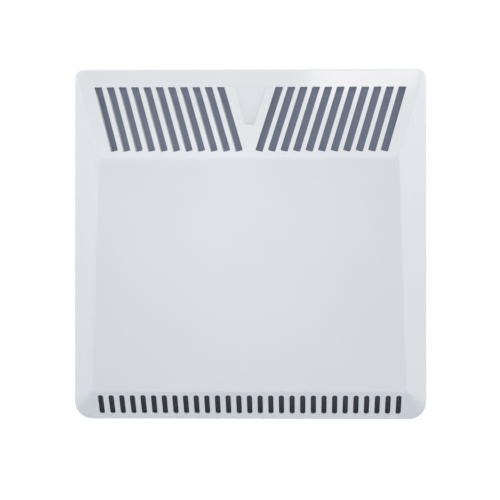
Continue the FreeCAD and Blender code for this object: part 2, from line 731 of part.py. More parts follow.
def intake_slots():
    """The row of upright slots in the bottom bevel."""
    travel = on_bevel(0, 0, -INTAKE_W) - on_bevel(0, 0, INTAKE_W)
    middle = INTAKE_START + INTAKE_LENGTH / 2
    corners, end_r = slot(INTAKE_W, INTAKE_LENGTH)
    slots = []
    for index in range(INTAKE_COUNT):
        x = (index - (INTAKE_COUNT - 1) / 2) * INTAKE_PITCH
        slots.append(prism(corners, end_r, lambda a, b: on_bevel(x + a, middle + b, INTAKE_W), travel))
    return slots


def casing_screw_places():
    """Where the front panel and the rear casing are screwed together, as (x, z)."""
    side_x = FACE_W / 2 - CASING_SCREW_EDGE
    top_z = FACE_TOP - CASING_SCREW_EDGE
    bottom_z = FACE_BOTTOM + CASING_SCREW_EDGE
    places = [(x, BODY_MID + dz) for x in (-side_x, side_x) for dz in (-CASING_SCREW_DZ, 0, CASING_SCREW_DZ)]
    places += [(dx, z) for z in (bottom_z, top_z) for dx in (-CASING_SCREW_DX, 0, CASING_SCREW_DX)]
    return places


def holes_at(places, radius, out0, out1):
    """Round holes square to the wall, one at each (x, z)."""
    return [rod(point(x, out0, z), TO_FRONT, radius, out1 - out0) for x, z in places]


def front_panel():
    """The pressed hood with its return lip, slots, lips and dent."""
    cavity = hood(SHEET, RETURN_OUT + SHEET).cut(dent(SHEET))
    shell = hood(0.0, RETURN_OUT).cut(dent(0.0)).cut(cavity)
    corners, radii = panel_outline(RETURN_LIP)
    opening = plate(corners, radii, RETURN_OUT, RETURN_OUT + SHEET)
    screws = holes_at(casing_screw_places(), SCREW_HOLE_R, RETURN_OUT, RETURN_OUT + SHEET)
    shell = shell.cut([opening] + screws + outlet_slots() + intake_slots())
    lips = [outlet_lip(side, index) for side in (-1, 1) for index in range(OUTLET_COUNT)]
    return shell.fuse(lips).removeSplitter()


def chassis_screw_places():
    """Where screws from behind hold the bracket, partition and shield on the rear casing, as (x, z)."""
    bracket_x = BRACKET_X - BRACKET_FOOT / 2
    partition_x = PARTITION_FAR_X + BRACKET_FOOT / 2
    places = [(bracket_x, ELEMENT_Z - BRACKET_H / 4), (bracket_x, ELEMENT_Z + BRACKET_H / 4)]
    places += [(partition_x, PARTITION_BOTTOM + PARTITION_SCREW_MARGIN)]
    places += [(partition_x, PARTITION_TOP - PARTITION_SCREW_MARGIN)]
    for x in (SHIELD_LEFT_X + SHIELD_SCREW_MARGIN, SHIELD_RIGHT_X - SHIELD_SCREW_MARGIN):
        places += [(x, SHIELD_BOTTOM + SHIELD_FOOT / 2), (x, SHIELD_TOP - SHIELD_FOOT / 2)]
    return places


def baffle_screw_places():
    """Where the baffle is screwed to the shoulder, as (x, z)."""
    x = (TRAY_HALF_W + BAFFLE_HALF_W) / 2
    heights = (BAFFLE_BOTTOM + BAFFLE_SCREW_MARGIN, BAFFLE_TOP - BAFFLE_SCREW_MARGIN)
    return [(side * x, z) for side in (-1, 1) for z in heights]


def buffer_places():
    """Where the wall buffers sit, as (x, z)."""
    return [(side * (FACE_W / 2 - BUFFER_SIDE), FACE_BOTTOM + BUFFER_LIFT) for side in (-1, 1)]


def bead(index, shrink, out0, out1):
    """A pressed stiffening bead's block on the back, or with shrink the hollow inside it."""
    x = (index - (BEAD_COUNT - 1) / 2) * BEAD_PITCH
    z = BODY_MID - BEAD_DROP
    corners, end_r = slot(BEAD_W - 2 * shrink, BEAD_LENGTH - 2 * shrink)
    return plate([(x + a, z + b) for a, b in corners], end_r, out0, out1)


def hang_slots():
    """The two slots in the back that drop over the rail's hooks."""
    half = HOOK_W / 2 + HANG_SLOT_SIDE
    slots = []
    for side in (-1, 1):
        x = side * HOOK_DX / 2
        corners = rectangle(x - half, x + half, HANG_SLOT_TOP - HANG_SLOT_H, HANG_SLOT_TOP)
        slots.append(plate(corners, HANG_SLOT_R, CASE_BACK_OUT, CASE_FLOOR_OUT))
    return slots


def floor_slots():
    """The air slots in the tray's bottom wall, left of the partition."""
    middle = (CASE_FLOOR_OUT + RETURN_OUT) / 2
    corners, end_r = slot(FLOOR_SLOT_W, FLOOR_SLOT_LENGTH)
    slots = []
    for index in range(FLOOR_SLOT_COUNT):
        x = PARTITION_X - FLOOR_SLOT_MARGIN - index * FLOOR_SLOT_PITCH
        outline = [(x + a, middle + b) for a, b in corners]
        slots.append(floor_plate(outline, end_r, TRAY_BOTTOM, TRAY_FLOOR_Z))
    return slots


def control_opening():
    """The hole in the tray's right wall behind the fascia."""
    corners = rectangle(
        FASCIA_BACK_OUT + FASCIA_SIDE_LAP, FASCIA_FRONT_OUT - FASCIA_SIDE_LAP,
        FASCIA_BOTTOM + FASCIA_END_LAP, FASCIA_TOP - FASCIA_END_LAP)
    return side_plate(corners, SHEET, TRAY_WALL_X, TRAY_HALF_W)


def fascia_screw_zs():
    """Heights of the two screws through the fascia."""
    return (FASCIA_BOTTOM + FASCIA_END_LAP / 2, FASCIA_TOP - FASCIA_END_LAP / 2)


def rear_casing():
    """The tray with its shoulder, beads, hanging slots, air slots and screw holes."""
    outline = rectangle(-TRAY_HALF_W, TRAY_HALF_W, TRAY_BOTTOM, TRAY_TOP)
    block = round_edges(plate(outline, TRAY_R, CASE_BACK_OUT, RETURN_OUT), CASE_BEND_R + CASE_SHEET,
                        at_out(CASE_BACK_OUT))
    inner = inset_corners(outline, [CASE_SHEET] * 4)
    hollow = round_edges(plate(inner, TRAY_R - CASE_SHEET, CASE_FLOOR_OUT, RETURN_OUT), CASE_BEND_R,
                         at_out(CASE_FLOOR_OUT))
    corners, radii = panel_outline(SHOULDER_INSET)
    shoulder = plate(corners, radii, SHOULDER_BACK_OUT, RETURN_OUT)
    bead_back = CASE_BACK_OUT - BEAD_HEIGHT
    beads = [bead(i, 0, bead_back, CASE_FLOOR_OUT) for i in range(BEAD_COUNT)]
    hollows = [bead(i, CASE_SHEET, bead_back + CASE_SHEET, CASE_FLOOR_OUT) for i in range(BEAD_COUNT)]
    cuts = [hollow, control_opening()] + hollows + hang_slots() + floor_slots()
    cuts += holes_at(chassis_screw_places(), SCREW_HOLE_R, CASE_BACK_OUT, CASE_FLOOR_OUT)
    shoulder_screws = casing_screw_places() + baffle_screw_places()
    cuts += holes_at(shoulder_screws, SCREW_HOLE_R, SHOULDER_BACK_OUT, RETURN_OUT)
    cuts += holes_at(buffer_places(), BUFFER_STEM_R + BUFFER_STEM_GAP, CASE_BACK_OUT, CASE_FLOOR_OUT)
    cuts += holes_at([(STUD_X, STUD_Z)], STUD_R + STUD_GAP, CASE_BACK_OUT, CASE_FLOOR_OUT)
    for z in fascia_screw_zs():
        cuts.append(rod(point(TRAY_WALL_X, CONTROL_OUT, z), TO_RIGHT, SCREW_HOLE_R, CASE_SHEET))
    cuts.append(rod(point(GLAND_X, GLAND_OUT, TRAY_BOTTOM), UP, GLAND_R + GLAND_GAP, CASE_SHEET))
    return block.fuse([shoulder] + beads).cut(cuts).removeSplitter()


def rail_hook(side):
    """One hook: a tongue of the rail bent forwards and then up, with rounded tip corners."""
    x0 = side * HOOK_DX / 2 - HOOK_W / 2
    x1 = x0 + HOOK_W
    root = RAIL_TOP - HOOK_ROOT
    tip = HOOK_TOP + HOOK_TIP
    shelf = HOOK_TOP - RAIL_SHEET
    path = [(RAIL_SHEET, root), (RAIL_SHEET, shelf), (HOOK_OUT, shelf), (HOOK_OUT, tip)]
    tongue = side_plate(*bent_strip(path, RAIL_SHEET), x0, x1)
    outline = plate(rectangle(x0, x1, root, tip), [0, 0, HOOK_TIP_R, HOOK_TIP_R], 0, HOOK_OUT)
    return tongue.common(outline)


def wall_rail():
    """The wall strip with a stiffening lip, four screw holes and two upturned hooks."""
    half_w, bottom = RAIL_W / 2, -RAIL_H / 2
    lip_out = RAIL_SHEET + RAIL_LIP
    path = [(0, RAIL_TOP), (0, bottom), (lip_out, bottom)]
    strip = side_plate(*bent_strip(path, RAIL_SHEET), -half_w, half_w)
    outline = plate(rectangle(-half_w, half_w, bottom, RAIL_TOP), [0, 0, RAIL_R, RAIL_R], 0, lip_out)
    places = [(sx * RAIL_HOLE_DX / 2, sz * RAIL_HOLE_DZ / 2) for sx in (-1, 1) for sz in (-1, 1)]
    rail = strip.common(outline).fuse([rail_hook(side) for side in (-1, 1)])
    return rail.cut(holes_at(places, RAIL_HOLE_R, 0, RAIL_SHEET)).removeSplitter()


def wall_buffers():
    """Two rubber feet against the wall, each with a barbed stem through the back."""
    buffers = []
    for x, z in buffer_places():
        pad = round_edges(rod(point(x, 0, z), TO_FRONT, BUFFER_R, CASE_BACK_OUT), BUFFER_EDGE_R, at_out(0))
        stem = rod(point(x, CASE_BACK_OUT, z), TO_FRONT, BUFFER_STEM_R, CASE_SHEET)
        barb = Part.makeCone(BUFFER_BARB_R, BUFFER_STEM_R, BUFFER_BARB, point(x, CASE_FLOOR_OUT, z), TO_FRONT)
        buffers.append(pad.fuse([stem, barb]))
    return Part.makeCompound(buffers)


def element_fins():
    """The finned bar: a tube with four slanting arms, each crossed by short ribs."""
    length = BAR_RIGHT_X - BAR_LEFT_X
    start = point(BAR_LEFT_X, ELEMENT_OUT, ELEMENT_Z)
    arms = []
    for side in (0, 180):
        for angle in (side - FIN_ANGLE, side + FIN_ANGLE):
            arm = box(BAR_LEFT_X, BAR_RIGHT_X, 0, FIN_REACH, -FIN_T / 2, FIN_T / 2)
            spacing = (FIN_REACH - BAR_TUBE_R) / FIN_RIB_COUNT
            ribs = []
            for index in range(FIN_RIB_COUNT):
                out = FIN_REACH - index * spacing
                ribs.append(box(BAR_LEFT_X, BAR_RIGHT_X, out - FIN_RIB_T, out, -FIN_RIB_H / 2, FIN_RIB_H / 2))
            arm = arm.fuse(ribs)
            arm.rotate(Vector(0, 0, 0), TO_RIGHT, angle)
            arm.translate(Vector(0, start.y, start.z))
            arms.append(arm)
    bar = rod(start, TO_RIGHT, BAR_TUBE_R, length).fuse(arms)
    return bar.cut(rod(start, TO_RIGHT, ROD_R + ROD_GAP, length)).removeSplitter()


def element_rod():
    """The sheathed heating rod with a contact pin at each end."""
    left = BAR_LEFT_X - ROD_OVERHANG
    right = BAR_RIGHT_X + ROD_OVERHANG
    sheath = rod(point(left, ELEMENT_OUT, ELEMENT_Z), TO_RIGHT, ROD_R, right - left)
    pins = [rod(point(x, ELEMENT_OUT, ELEMENT_Z), TO_RIGHT, PIN_R, PIN_LENGTH) for x in (LEFT_PIN_X, right)]
    return sheath.fuse(pins).removeSplitter()


def element_bush(plate_x, side):
    """A ceramic bush: its flange bears on the plate from the bar's side and its nose passes through."""
    near = point(plate_x, ELEMENT_OUT, ELEMENT_Z)
    nose = rod(near, TO_RIGHT * side, BUSH_R, BRACKET_SHEET + BUSH_NOSE)
    flange = rod(near, TO_RIGHT * -side, BUSH_FLANGE_R, BUSH_FLANGE_T)
    bore_start = near - TO_RIGHT * side * BUSH_FLANGE_T
    bore = rod(bore_start, TO_RIGHT * side, ROD_R + ROD_GAP, BUSH_FLANGE_T + BRACKET_SHEET + BUSH_NOSE)
    return nose.fuse(flange).cut(bore).removeSplitter()


def bush_hole(x0):
    """The hole for a bush in an upright plate."""
    return rod(point(x0, ELEMENT_OUT, ELEMENT_Z), TO_RIGHT, BUSH_R + BUSH_GAP, BRACKET_SHEET)


def foot_holes(sheet):
    """Screw holes through a foot that lies on the tray's floor."""
    return holes_at(chassis_screw_places(), SCREW_HOLE_R, CASE_FLOOR_OUT, CASE_FLOOR_OUT + sheet)


def element_bracket():
    """The left carrier of the element: an upright plate on a screwed foot."""
    low, high = ELEMENT_Z - BRACKET_H / 2, ELEMENT_Z + BRACKET_H / 2
    foot_x = BRACKET_X - BRACKET_FOOT
    path = [(foot_x, CASE_FLOOR_OUT), (BRACKET_X, CASE_FLOOR_OUT), (BRACKET_X, ARM_OUT)]
    sheet = floor_plate(*bent_strip(path, BRACKET_SHEET), low, high)
    corners = rectangle(CASE_FLOOR_OUT, ARM_OUT, low, high)
    sheet = sheet.common(side_plate(corners, [0, BUSH_R, BUSH_R, 0], foot_x, BRACKET_X))
    return sheet.cut([bush_hole(BRACKET_X - BRACKET_SHEET)] + foot_holes(BRACKET_SHEET))


def cutout_rivet_places():
    """The cut-out's two rivets, as (out, z)."""
    return [(ELEMENT_OUT, CUTOUT_Z + side * EAR_SPAN / 2) for side in (-1, 1)]


def control_partition():
    """The upright sheet beside the controls, with holes for the bush, the cut-out and a lead."""
    foot_x = PARTITION_FAR_X + BRACKET_FOOT
    path = [(PARTITION_X, ARM_OUT), (PARTITION_X, CASE_FLOOR_OUT), (foot_x, CASE_FLOOR_OUT)]
    sheet = floor_plate(*bent_strip(path, BRACKET_SHEET), PARTITION_BOTTOM, PARTITION_TOP)
    corners = rectangle(CASE_FLOOR_OUT, ARM_OUT, PARTITION_BOTTOM, PARTITION_TOP)
    sheet = sheet.common(side_plate(corners, [0, BUSH_R, BUSH_R, 0], PARTITION_X, foot_x))
    cuts = [bush_hole(PARTITION_X)] + foot_holes(BRACKET_SHEET)
    cutout = point(PARTITION_X, ELEMENT_OUT, CUTOUT_Z)
    cuts.append(rod(cutout, TO_RIGHT, CUTOUT_R + CUTOUT_GAP, BRACKET_SHEET))
    for out, z in cutout_rivet_places():
        cuts.append(rod(point(PARTITION_X, out, z), TO_RIGHT, RIVET_R + RIVET_GAP, BRACKET_SHEET))
    grommet = point(PARTITION_X, LEAD_RUN_OUT, LEAD_RUN_Z)
    cuts.append(rod(grommet, TO_RIGHT, GROMMET_R + GROMMET_GAP, BRACKET_SHEET))
    return sheet.cut(cuts)


def overheat_cutout():
    """The disc switch: a cap in the hot duct, two ears on the partition and two contact tabs."""
    base_x = PARTITION_FAR_X + EAR_T
    nose_x = PARTITION_X - CUTOUT_NOSE
    body = rod(point(nose_x, ELEMENT_OUT, CUTOUT_Z), TO_RIGHT, CUTOUT_R, base_x + CUTOUT_CAP - nose_x)
    half_w, half_h = EAR_W / 2, EAR_SPAN / 2 + EAR_W / 2
    corners = rectangle(ELEMENT_OUT - half_w, ELEMENT_OUT + half_w, CUTOUT_Z - half_h, CUTOUT_Z + half_h)
    ears = side_plate(corners, half_w * FULL_ROUND, PARTITION_FAR_X, base_x)
    tabs = []
    for side in (-1, 1):
        out = ELEMENT_OUT + side * TAB_SPAN / 2
        tabs.append(box(base_x, base_x + CUTOUT_CAP + TAB_LENGTH, out - TAB_T / 2, out + TAB_T / 2,
                        CUTOUT_Z - TAB_W / 2, CUTOUT_Z + TAB_W / 2))
    holes = [rod(point(PARTITION_FAR_X, out, z), TO_RIGHT, RIVET_R + RIVET_GAP, EAR_T)
             for out, z in cutout_rivet_places()]
    return body.fuse([ears] + tabs).cut(holes).removeSplitter()


def cutout_rivets():
    """Two rivets through the ears and the partition, headed on both sides."""
    rivets = []
    for out, z in cutout_rivet_places():
        shank_x = PARTITION_X - RIVET_HEAD_T
        far_x = PARTITION_FAR_X + EAR_T
        shank = rod(point(shank_x, out, z), TO_RIGHT, RIVET_R, far_x - shank_x)
        heads = [rod(point(x, out, z), TO_RIGHT, RIVET_HEAD_R, RIVET_HEAD_T) for x in (shank_x, far_x)]
        rivets.append(shank.fuse(heads).removeSplitter())
    return Part.makeCompound(rivets)


def heat_shield():
    """A top-hat sheet whose two feet are screwed to the tray's floor."""
    near, far = CASE_FLOOR_OUT, CASE_FLOOR_OUT + SHIELD_STAND
    path = [
        (near, SHIELD_TOP),
        (near, SHIELD_TOP - SHIELD_FOOT),
        (far, SHIELD_TOP - SHIELD_FOOT),
        (far, SHIELD_BOTTOM + SHIELD_FOOT),
        (near, SHIELD_BOTTOM + SHIELD_FOOT),
        (near, SHIELD_BOTTOM),
    ]
    sheet = side_plate(*bent_strip(path, SHIELD_SHEET), SHIELD_LEFT_X, SHIELD_RIGHT_X)
    return sheet.cut(foot_holes(SHIELD_SHEET))


def outlet_baffle():
    """The grey sheet behind the outlet slots, with a ramp that turns the warm air forwards."""
    front = RETURN_OUT + BAFFLE_SHEET
    corners = rectangle(-BAFFLE_HALF_W, BAFFLE_HALF_W, BAFFLE_BOTTOM + RAMP_FOOT / 2, BAFFLE_TOP)
    upright = plate(corners, 0, RETURN_OUT, front)
    half = TRAY_WALL_X - BEND_ROOM
    ramp_low = BAFFLE_BOTTOM - RAMP_DROP
    path = [
        (RETURN_OUT, BAFFLE_BOTTOM + RAMP_FOOT),
        (RETURN_OUT, BAFFLE_BOTTOM),
        (CASE_FLOOR_OUT, ramp_low),
        (CASE_FLOOR_OUT, ramp_low - RAMP_FOOT),
    ]
    ramp = side_plate(*bent_strip(path, BAFFLE_SHEET), -half, half)
    holes = holes_at(baffle_screw_places(), SCREW_HOLE_R, RETURN_OUT, front)
    return upright.fuse(ramp).cut(holes).removeSplitter()


def outlet_deflector():
    """The folded sheet close behind the outlet slots, along the slope, held by the baffle's screws."""
    seat = RETURN_OUT + BAFFLE_SHEET + DEFLECTOR_SHEET
    top = BAFFLE_TOP - DEFLECTOR_SHEET
    foot = BAFFLE_BOTTOM + RAMP_FOOT
    front = RIM_OUT - DEFLECTOR_GAP - DEFLECTOR_SHEET * math.hypot(1, 1 / TOP_SLOPE)
    path = [
        (seat, top - DEFLECTOR_FLANGE),
        (seat, top),
        (front + (FACE_TOP - top) / TOP_SLOPE, top),
        (front + RISE_TOP, UPPER_CREASE_Z),
        (seat, foot),
        (seat, foot + DEFLECTOR_FLANGE),
    ]
    strip = side_plate(*bent_strip(path, DEFLECTOR_SHEET), -BAFFLE_HALF_W, BAFFLE_HALF_W)
    tip_half = FACE_W / 2 - SIDE_RUN - DEFLECTOR_SIDE_GAP
    plan = [
        (-BAFFLE_HALF_W, RETURN_OUT),
        (BAFFLE_HALF_W, RETURN_OUT),
        (tip_half, RIM_OUT + RISE_TOP),
        (-tip_half, RIM_OUT + RISE_TOP),
    ]
    tapered = strip.common(floor_plate(plan, 0, FACE_BOTTOM, FACE_TOP))
    return tapered.cut(holes_at(baffle_screw_places(), SCREW_HOLE_R, RETURN_OUT, seat))


def intake_guard():
    """The folded sheet close behind the intake slots, held by the panel's bottom screws."""
    seat = RETURN_OUT + SHEET
    low = FACE_BOTTOM + GUARD_LIFT
    tip = on_bevel(0, 0, -GUARD_GAP)
    path = [
        (seat, low + GUARD_FLANGE),
        (seat, low),
        (-tip.y - (tip.z - low) / BOTTOM_SLOPE, low),
        (-tip.y, tip.z),
    ]
    half = FACE_W / 2 - INTAKE_SIDE + INTAKE_W
    sheet = side_plate(*bent_strip(path, GUARD_SHEET), -half, half)
    screws = [(x, z) for x, z in casing_screw_places() if z < low + GUARD_FLANGE]
    return sheet.cut(holes_at(screws, SCREW_HOLE_R, seat, seat + GUARD_SHEET))


def control_fascia():
    """The moulded plate on the right wall, open for the knob's bushing, the switches and the lamp."""
    corners = rectangle(FASCIA_BACK_OUT, FASCIA_FRONT_OUT, FASCIA_BOTTOM, FASCIA_TOP)
    sheet = side_plate(corners, FASCIA_R, TRAY_HALF_W, FASCIA_X)
    sheet = round_edges(sheet, FASCIA_ROUND, at_x(FASCIA_X))
    cuts = [rod(point(TRAY_HALF_W, CONTROL_OUT, KNOB_Z), TO_RIGHT, BUSHING_R + BUSHING_GAP, FASCIA_T)]
    cuts.append(rod(point(TRAY_HALF_W, CONTROL_OUT, LAMP_Z), TO_RIGHT, LAMP_R + LAMP_GAP, FASCIA_T))
    half_w, half_l = SWITCH_HALF_W + SWITCH_GAP, SWITCH_HALF_L + SWITCH_GAP
    for z in (POWER_Z, BOOST_Z):
        cuts.append(box(TRAY_HALF_W, FASCIA_X, CONTROL_OUT - half_w, CONTROL_OUT + half_w,
                        z - half_l, z + half_l))
    for z in fascia_screw_zs():
        cuts.append(rod(point(TRAY_HALF_W, CONTROL_OUT, z), TO_RIGHT, SCREW_HOLE_R, FASCIA_T))
    return sheet.cut(cuts)


def control_box():
    """The moulded tub behind the tray's right wall, with two screw bosses and two lead holes."""
    outer = box(BOX_LEFT_X, TRAY_WALL_X, BOX_BACK_OUT, BOX_FRONT_OUT, FASCIA_BOTTOM, FASCIA_TOP)
    inner = box(BOX_LEFT_X + BOX_WALL, TRAY_WALL_X, BOX_BACK_OUT + BOX_WALL, BOX_FRONT_OUT - BOX_WALL,
                FASCIA_BOTTOM + BOX_WALL, FASCIA_TOP - BOX_WALL)
    bosses, cuts = [], []
    half = BOX_BOSS / 2
    boss_x = TRAY_WALL_X - BOX_BOSS_DEPTH
    for z, end_z in zip(fascia_screw_zs(), (FASCIA_BOTTOM, FASCIA_TOP)):
        low, high = min(z - half, end_z), max(z + half, end_z)
        bosses.append(box(boss_x, TRAY_WALL_X, BOX_BACK_OUT, CONTROL_OUT + half, low, high))
        cuts.append(rod(point(boss_x, CONTROL_OUT, z), TO_RIGHT, SCREW_HOLE_R, BOX_BOSS_DEPTH))
    for z in (SWITCH_TAB_Z, KNOB_Z):
        cuts.append(rod(point(BOX_LEFT_X, CONTROL_OUT, z), TO_RIGHT, LEAD_HOLE_R, BOX_WALL))
    return outer.cut(inner).fuse(bosses).cut(cuts).removeSplitter()


def thermostat_body():
    """The thermostat's case against the wall's inside, with a bushing out through the fascia."""
    half_w, half_h = STAT_W / 2, STAT_H / 2
    corners = rectangle(CONTROL_OUT - half_w, CONTROL_OUT + half_w, KNOB_Z - half_h, KNOB_Z + half_h)
    case = side_plate(corners, STAT_EDGE_R, STAT_BACK_X, TRAY_WALL_X)
    bushing = rod(point(TRAY_WALL_X, CONTROL_OUT, KNOB_Z), TO_RIGHT, BUSHING_R, CASE_SHEET + FASCIA_T + NUT_T)
    bore_x = TRAY_WALL_X - SPINDLE_IN_BODY
    bore = rod(point(bore_x, CONTROL_OUT, KNOB_Z), TO_RIGHT, SPINDLE_R + SPINDLE_GAP,
               FASCIA_X + NUT_T - bore_x)
    return case.fuse(bushing).cut(bore).removeSplitter()


def thermostat_nut():
    """The hexagon nut that clamps the thermostat to the fascia."""
    return hexagon(point(FASCIA_X, CONTROL_OUT, KNOB_Z), TO_RIGHT, NUT_FLATS, NUT_T, BUSHING_R + BUSHING_GAP)


def thermostat_spindle():
    """The turning spindle, with a flat where the knob grips it."""
    start_x = TRAY_WALL_X - SPINDLE_IN_BODY + SPINDLE_GAP
    knob_x = FASCIA_X + KNOB_STAND + KNOB_HOLLOW_DEPTH
    end_x = knob_x + SPINDLE_IN_KNOB
    bar = rod(point(start_x, CONTROL_OUT, KNOB_Z), TO_RIGHT, SPINDLE_R, end_x - start_x)
    flat_z = KNOB_Z + SPINDLE_R - SPINDLE_FLAT
    flat = box(knob_x, end_x, CONTROL_OUT - SPINDLE_R, CONTROL_OUT + SPINDLE_R, flat_z, KNOB_Z + SPINDLE_R)
    return bar.cut(flat)


def thermostat_knob():
    """The fluted knob, hollow over the nut, with a pointer groove that starts straight up."""
    base_x = FASCIA_X + KNOB_STAND
    start = point(base_x, CONTROL_OUT, KNOB_Z)
    barrel = round_edges(rod(start, TO_RIGHT, KNOB_R, KNOB_HEIGHT), KNOB_EDGE_R, at_x(base_x + KNOB_HEIGHT))
    knob = barrel.fuse(rod(start, TO_RIGHT, KNOB_SKIRT_R, KNOB_SKIRT_T))
    cuts = [rod(start, TO_RIGHT, KNOB_HOLLOW_R, KNOB_HOLLOW_DEPTH)]
    flute_x = base_x + 2 * KNOB_SKIRT_T
    for index in range(KNOB_FLUTES):
        angle = 2 * math.pi * (index + 0.5) / KNOB_FLUTES
        place = point(flute_x, CONTROL_OUT + KNOB_R * math.sin(angle), KNOB_Z + KNOB_R * math.cos(angle))
        cuts.append(rod(place, TO_RIGHT, KNOB_FLUTE_R, KNOB_HEIGHT))
    face_x = base_x + KNOB_HEIGHT
    half = KNOB_MARK_W / 2
    cuts.append(box(face_x - KNOB_MARK_DEPTH, face_x, CONTROL_OUT - half, CONTROL_OUT + half,
                    KNOB_Z + SPINDLE_R, KNOB_Z + KNOB_SKIRT_R))
    knob = knob.cut(cuts)
    socket_x = base_x + KNOB_HOLLOW_DEPTH
    socket = rod(point(socket_x, CONTROL_OUT, KNOB_Z), TO_RIGHT, SPINDLE_R, SPINDLE_IN_KNOB)
    flat_z = KNOB_Z + SPINDLE_R - SPINDLE_FLAT
    flat = box(socket_x, socket_x + SPINDLE_IN_KNOB, CONTROL_OUT - SPINDLE_R, CONTROL_OUT + SPINDLE_R,
               flat_z, KNOB_Z + SPINDLE_R)
    return knob.cut(socket.cut(flat)).removeSplitter()


def switch_body(z):
    """A rocker switch's case: a bezel on the fascia, a cup for the rocker and two contact tabs."""
    half_w, half_l = SWITCH_HALF_W + BEZEL_MARGIN, SWITCH_HALF_L + BEZEL_MARGIN
    face_x = FASCIA_X + BEZEL_T
    case = box(SWITCH_BACK_X, FASCIA_X, CONTROL_OUT - SWITCH_HALF_W, CONTROL_OUT + SWITCH_HALF_W,
               z - SWITCH_HALF_L, z + SWITCH_HALF_L)
    corners = rectangle(CONTROL_OUT - half_w, CONTROL_OUT + half_w, z - half_l, z + half_l)
    bezel = side_plate(corners, BEZEL_MARGIN, FASCIA_X, face_x)
    bezel = round_edges(bezel, BEZEL_T / 2, at_x(face_x))
    cup = box(face_x - CUP_DEPTH, face_x, CONTROL_OUT - CUP_HALF_W, CONTROL_OUT + CUP_HALF_W,
              z - CUP_HALF_L, z + CUP_HALF_L)
    seat_length = ROCKER_W + 2 * TRUNNION_LENGTH
    seat_start = point(ROCKER_X, CONTROL_OUT - seat_length / 2, z)
    seat = rod(seat_start, TO_FRONT, TRUNNION_R + TRUNNION_GAP, seat_length)
    tabs = []
    for side in (-1, 1):
        tab_z = z + side * TAB_SPAN / 2
        tabs.append(box(SWITCH_BACK_X - TAB_LENGTH, SWITCH_BACK_X, CONTROL_OUT - TAB_W / 2,
                        CONTROL_OUT + TAB_W / 2, tab_z - TAB_T / 2, tab_z + TAB_T / 2))
    return case.fuse([bezel] + tabs).cut([cup, seat]).removeSplitter()


def rocker(z):
    """A rocker in its off position: a shallow V on top, a keel below and a trunnion at each side."""
    half = ROCKER_L / 2
    keel = ROCKER_KEEL_L / 2
    profile = [
        (-half, ROCKER_CREST), (0, ROCKER_CREST - ROCKER_DIP), (half, ROCKER_CREST), (half, -ROCKER_SKIRT),
        (keel, -ROCKER_KEEL), (-keel, -ROCKER_KEEL), (-half, -ROCKER_SKIRT),
    ]
    pivot = point(ROCKER_X, CONTROL_OUT, z)
    near = CONTROL_OUT - ROCKER_W / 2
    radii = [ROCKER_EDGE_R, 0, ROCKER_EDGE_R, 0, 0, 0, 0]
    body = prism(profile, radii, lambda a, b: point(ROCKER_X + b, near, z + a), TO_FRONT * ROCKER_W)
    length = ROCKER_W + 2 * (TRUNNION_LENGTH - ROCKER_GAP)
    trunnion = rod(pivot - TO_FRONT * length / 2, TO_FRONT, TRUNNION_R, length)
    piece = body.fuse(trunnion).removeSplitter()
    piece.rotate(pivot, TO_FRONT, ROCKER_TILT)
    return piece


def lamp_lens():
    """The clear lamp lens: a barrel through the fascia, a flange and a low dome."""
    start_x = FASCIA_X - LAMP_LENGTH
    barrel = rod(point(start_x, CONTROL_OUT, LAMP_Z), TO_RIGHT, LAMP_R, LAMP_LENGTH)
    dome = rod(point(FASCIA_X, CONTROL_OUT, LAMP_Z), TO_RIGHT, LAMP_FLANGE_R, LAMP_DOME)
    dome = round_edges(dome, LAMP_ROUND, at_x(FASCIA_X + LAMP_DOME))
    return barrel.fuse(dome).removeSplitter()


def block_screw_places():
    """The terminal block's screws on its front face, as (x, z)."""
    rows = (BLOCK_BOTTOM + BLOCK_H / 4, BLOCK_TOP - BLOCK_H / 4)
    first = BLOCK_X - BLOCK_W / 2 + BLOCK_POLE / 2
    return [(first + pole * BLOCK_POLE, z) for pole in range(BLOCK_POLES) for z in rows]


def pole_x(pole):
    """The middle of one pole of the terminal block."""
    return BLOCK_X + (pole - (BLOCK_POLES - 1) / 2) * BLOCK_POLE


def terminal_block():
    """The moulded block on the tray's floor, with grooves between its poles and sunk screws."""
    front = CASE_FLOOR_OUT + BLOCK_D
    block = box(BLOCK_X - BLOCK_W / 2, BLOCK_X + BLOCK_W / 2, CASE_FLOOR_OUT, front, BLOCK_BOTTOM, BLOCK_TOP)
    cuts = holes_at(block_screw_places(), BLOCK_SCREW_R + BLOCK_SCREW_GAP,
                    front - BLOCK_SCREW_DEPTH - BLOCK_SCREW_SINK, front)
    for groove in range(1, BLOCK_POLES):
        x = BLOCK_X - BLOCK_W / 2 + groove * BLOCK_POLE
        cuts.append(box(x - BLOCK_GROOVE_W / 2, x + BLOCK_GROOVE_W / 2, front - BLOCK_GROOVE_DEPTH, front,
                        BLOCK_BOTTOM, BLOCK_TOP))
    return block.cut(cuts)


def terminal_screws():
    """The block's slotted screws, sunk below its face."""
    front = CASE_FLOOR_OUT + BLOCK_D - BLOCK_SCREW_SINK
    screws = []
    for x, z in block_screw_places():
        screw = rod(point(x, front - BLOCK_SCREW_DEPTH, z), TO_FRONT, BLOCK_SCREW_R, BLOCK_SCREW_DEPTH)
        groove = box(x - BLOCK_SCREW_R, x + BLOCK_SCREW_R, front - BLOCK_SCREW_SINK, front,
                     z - SCREW_CROSS_W / 2, z + SCREW_CROSS_W / 2)
        screws.append(screw.cut(groove))
    return Part.makeCompound(screws)


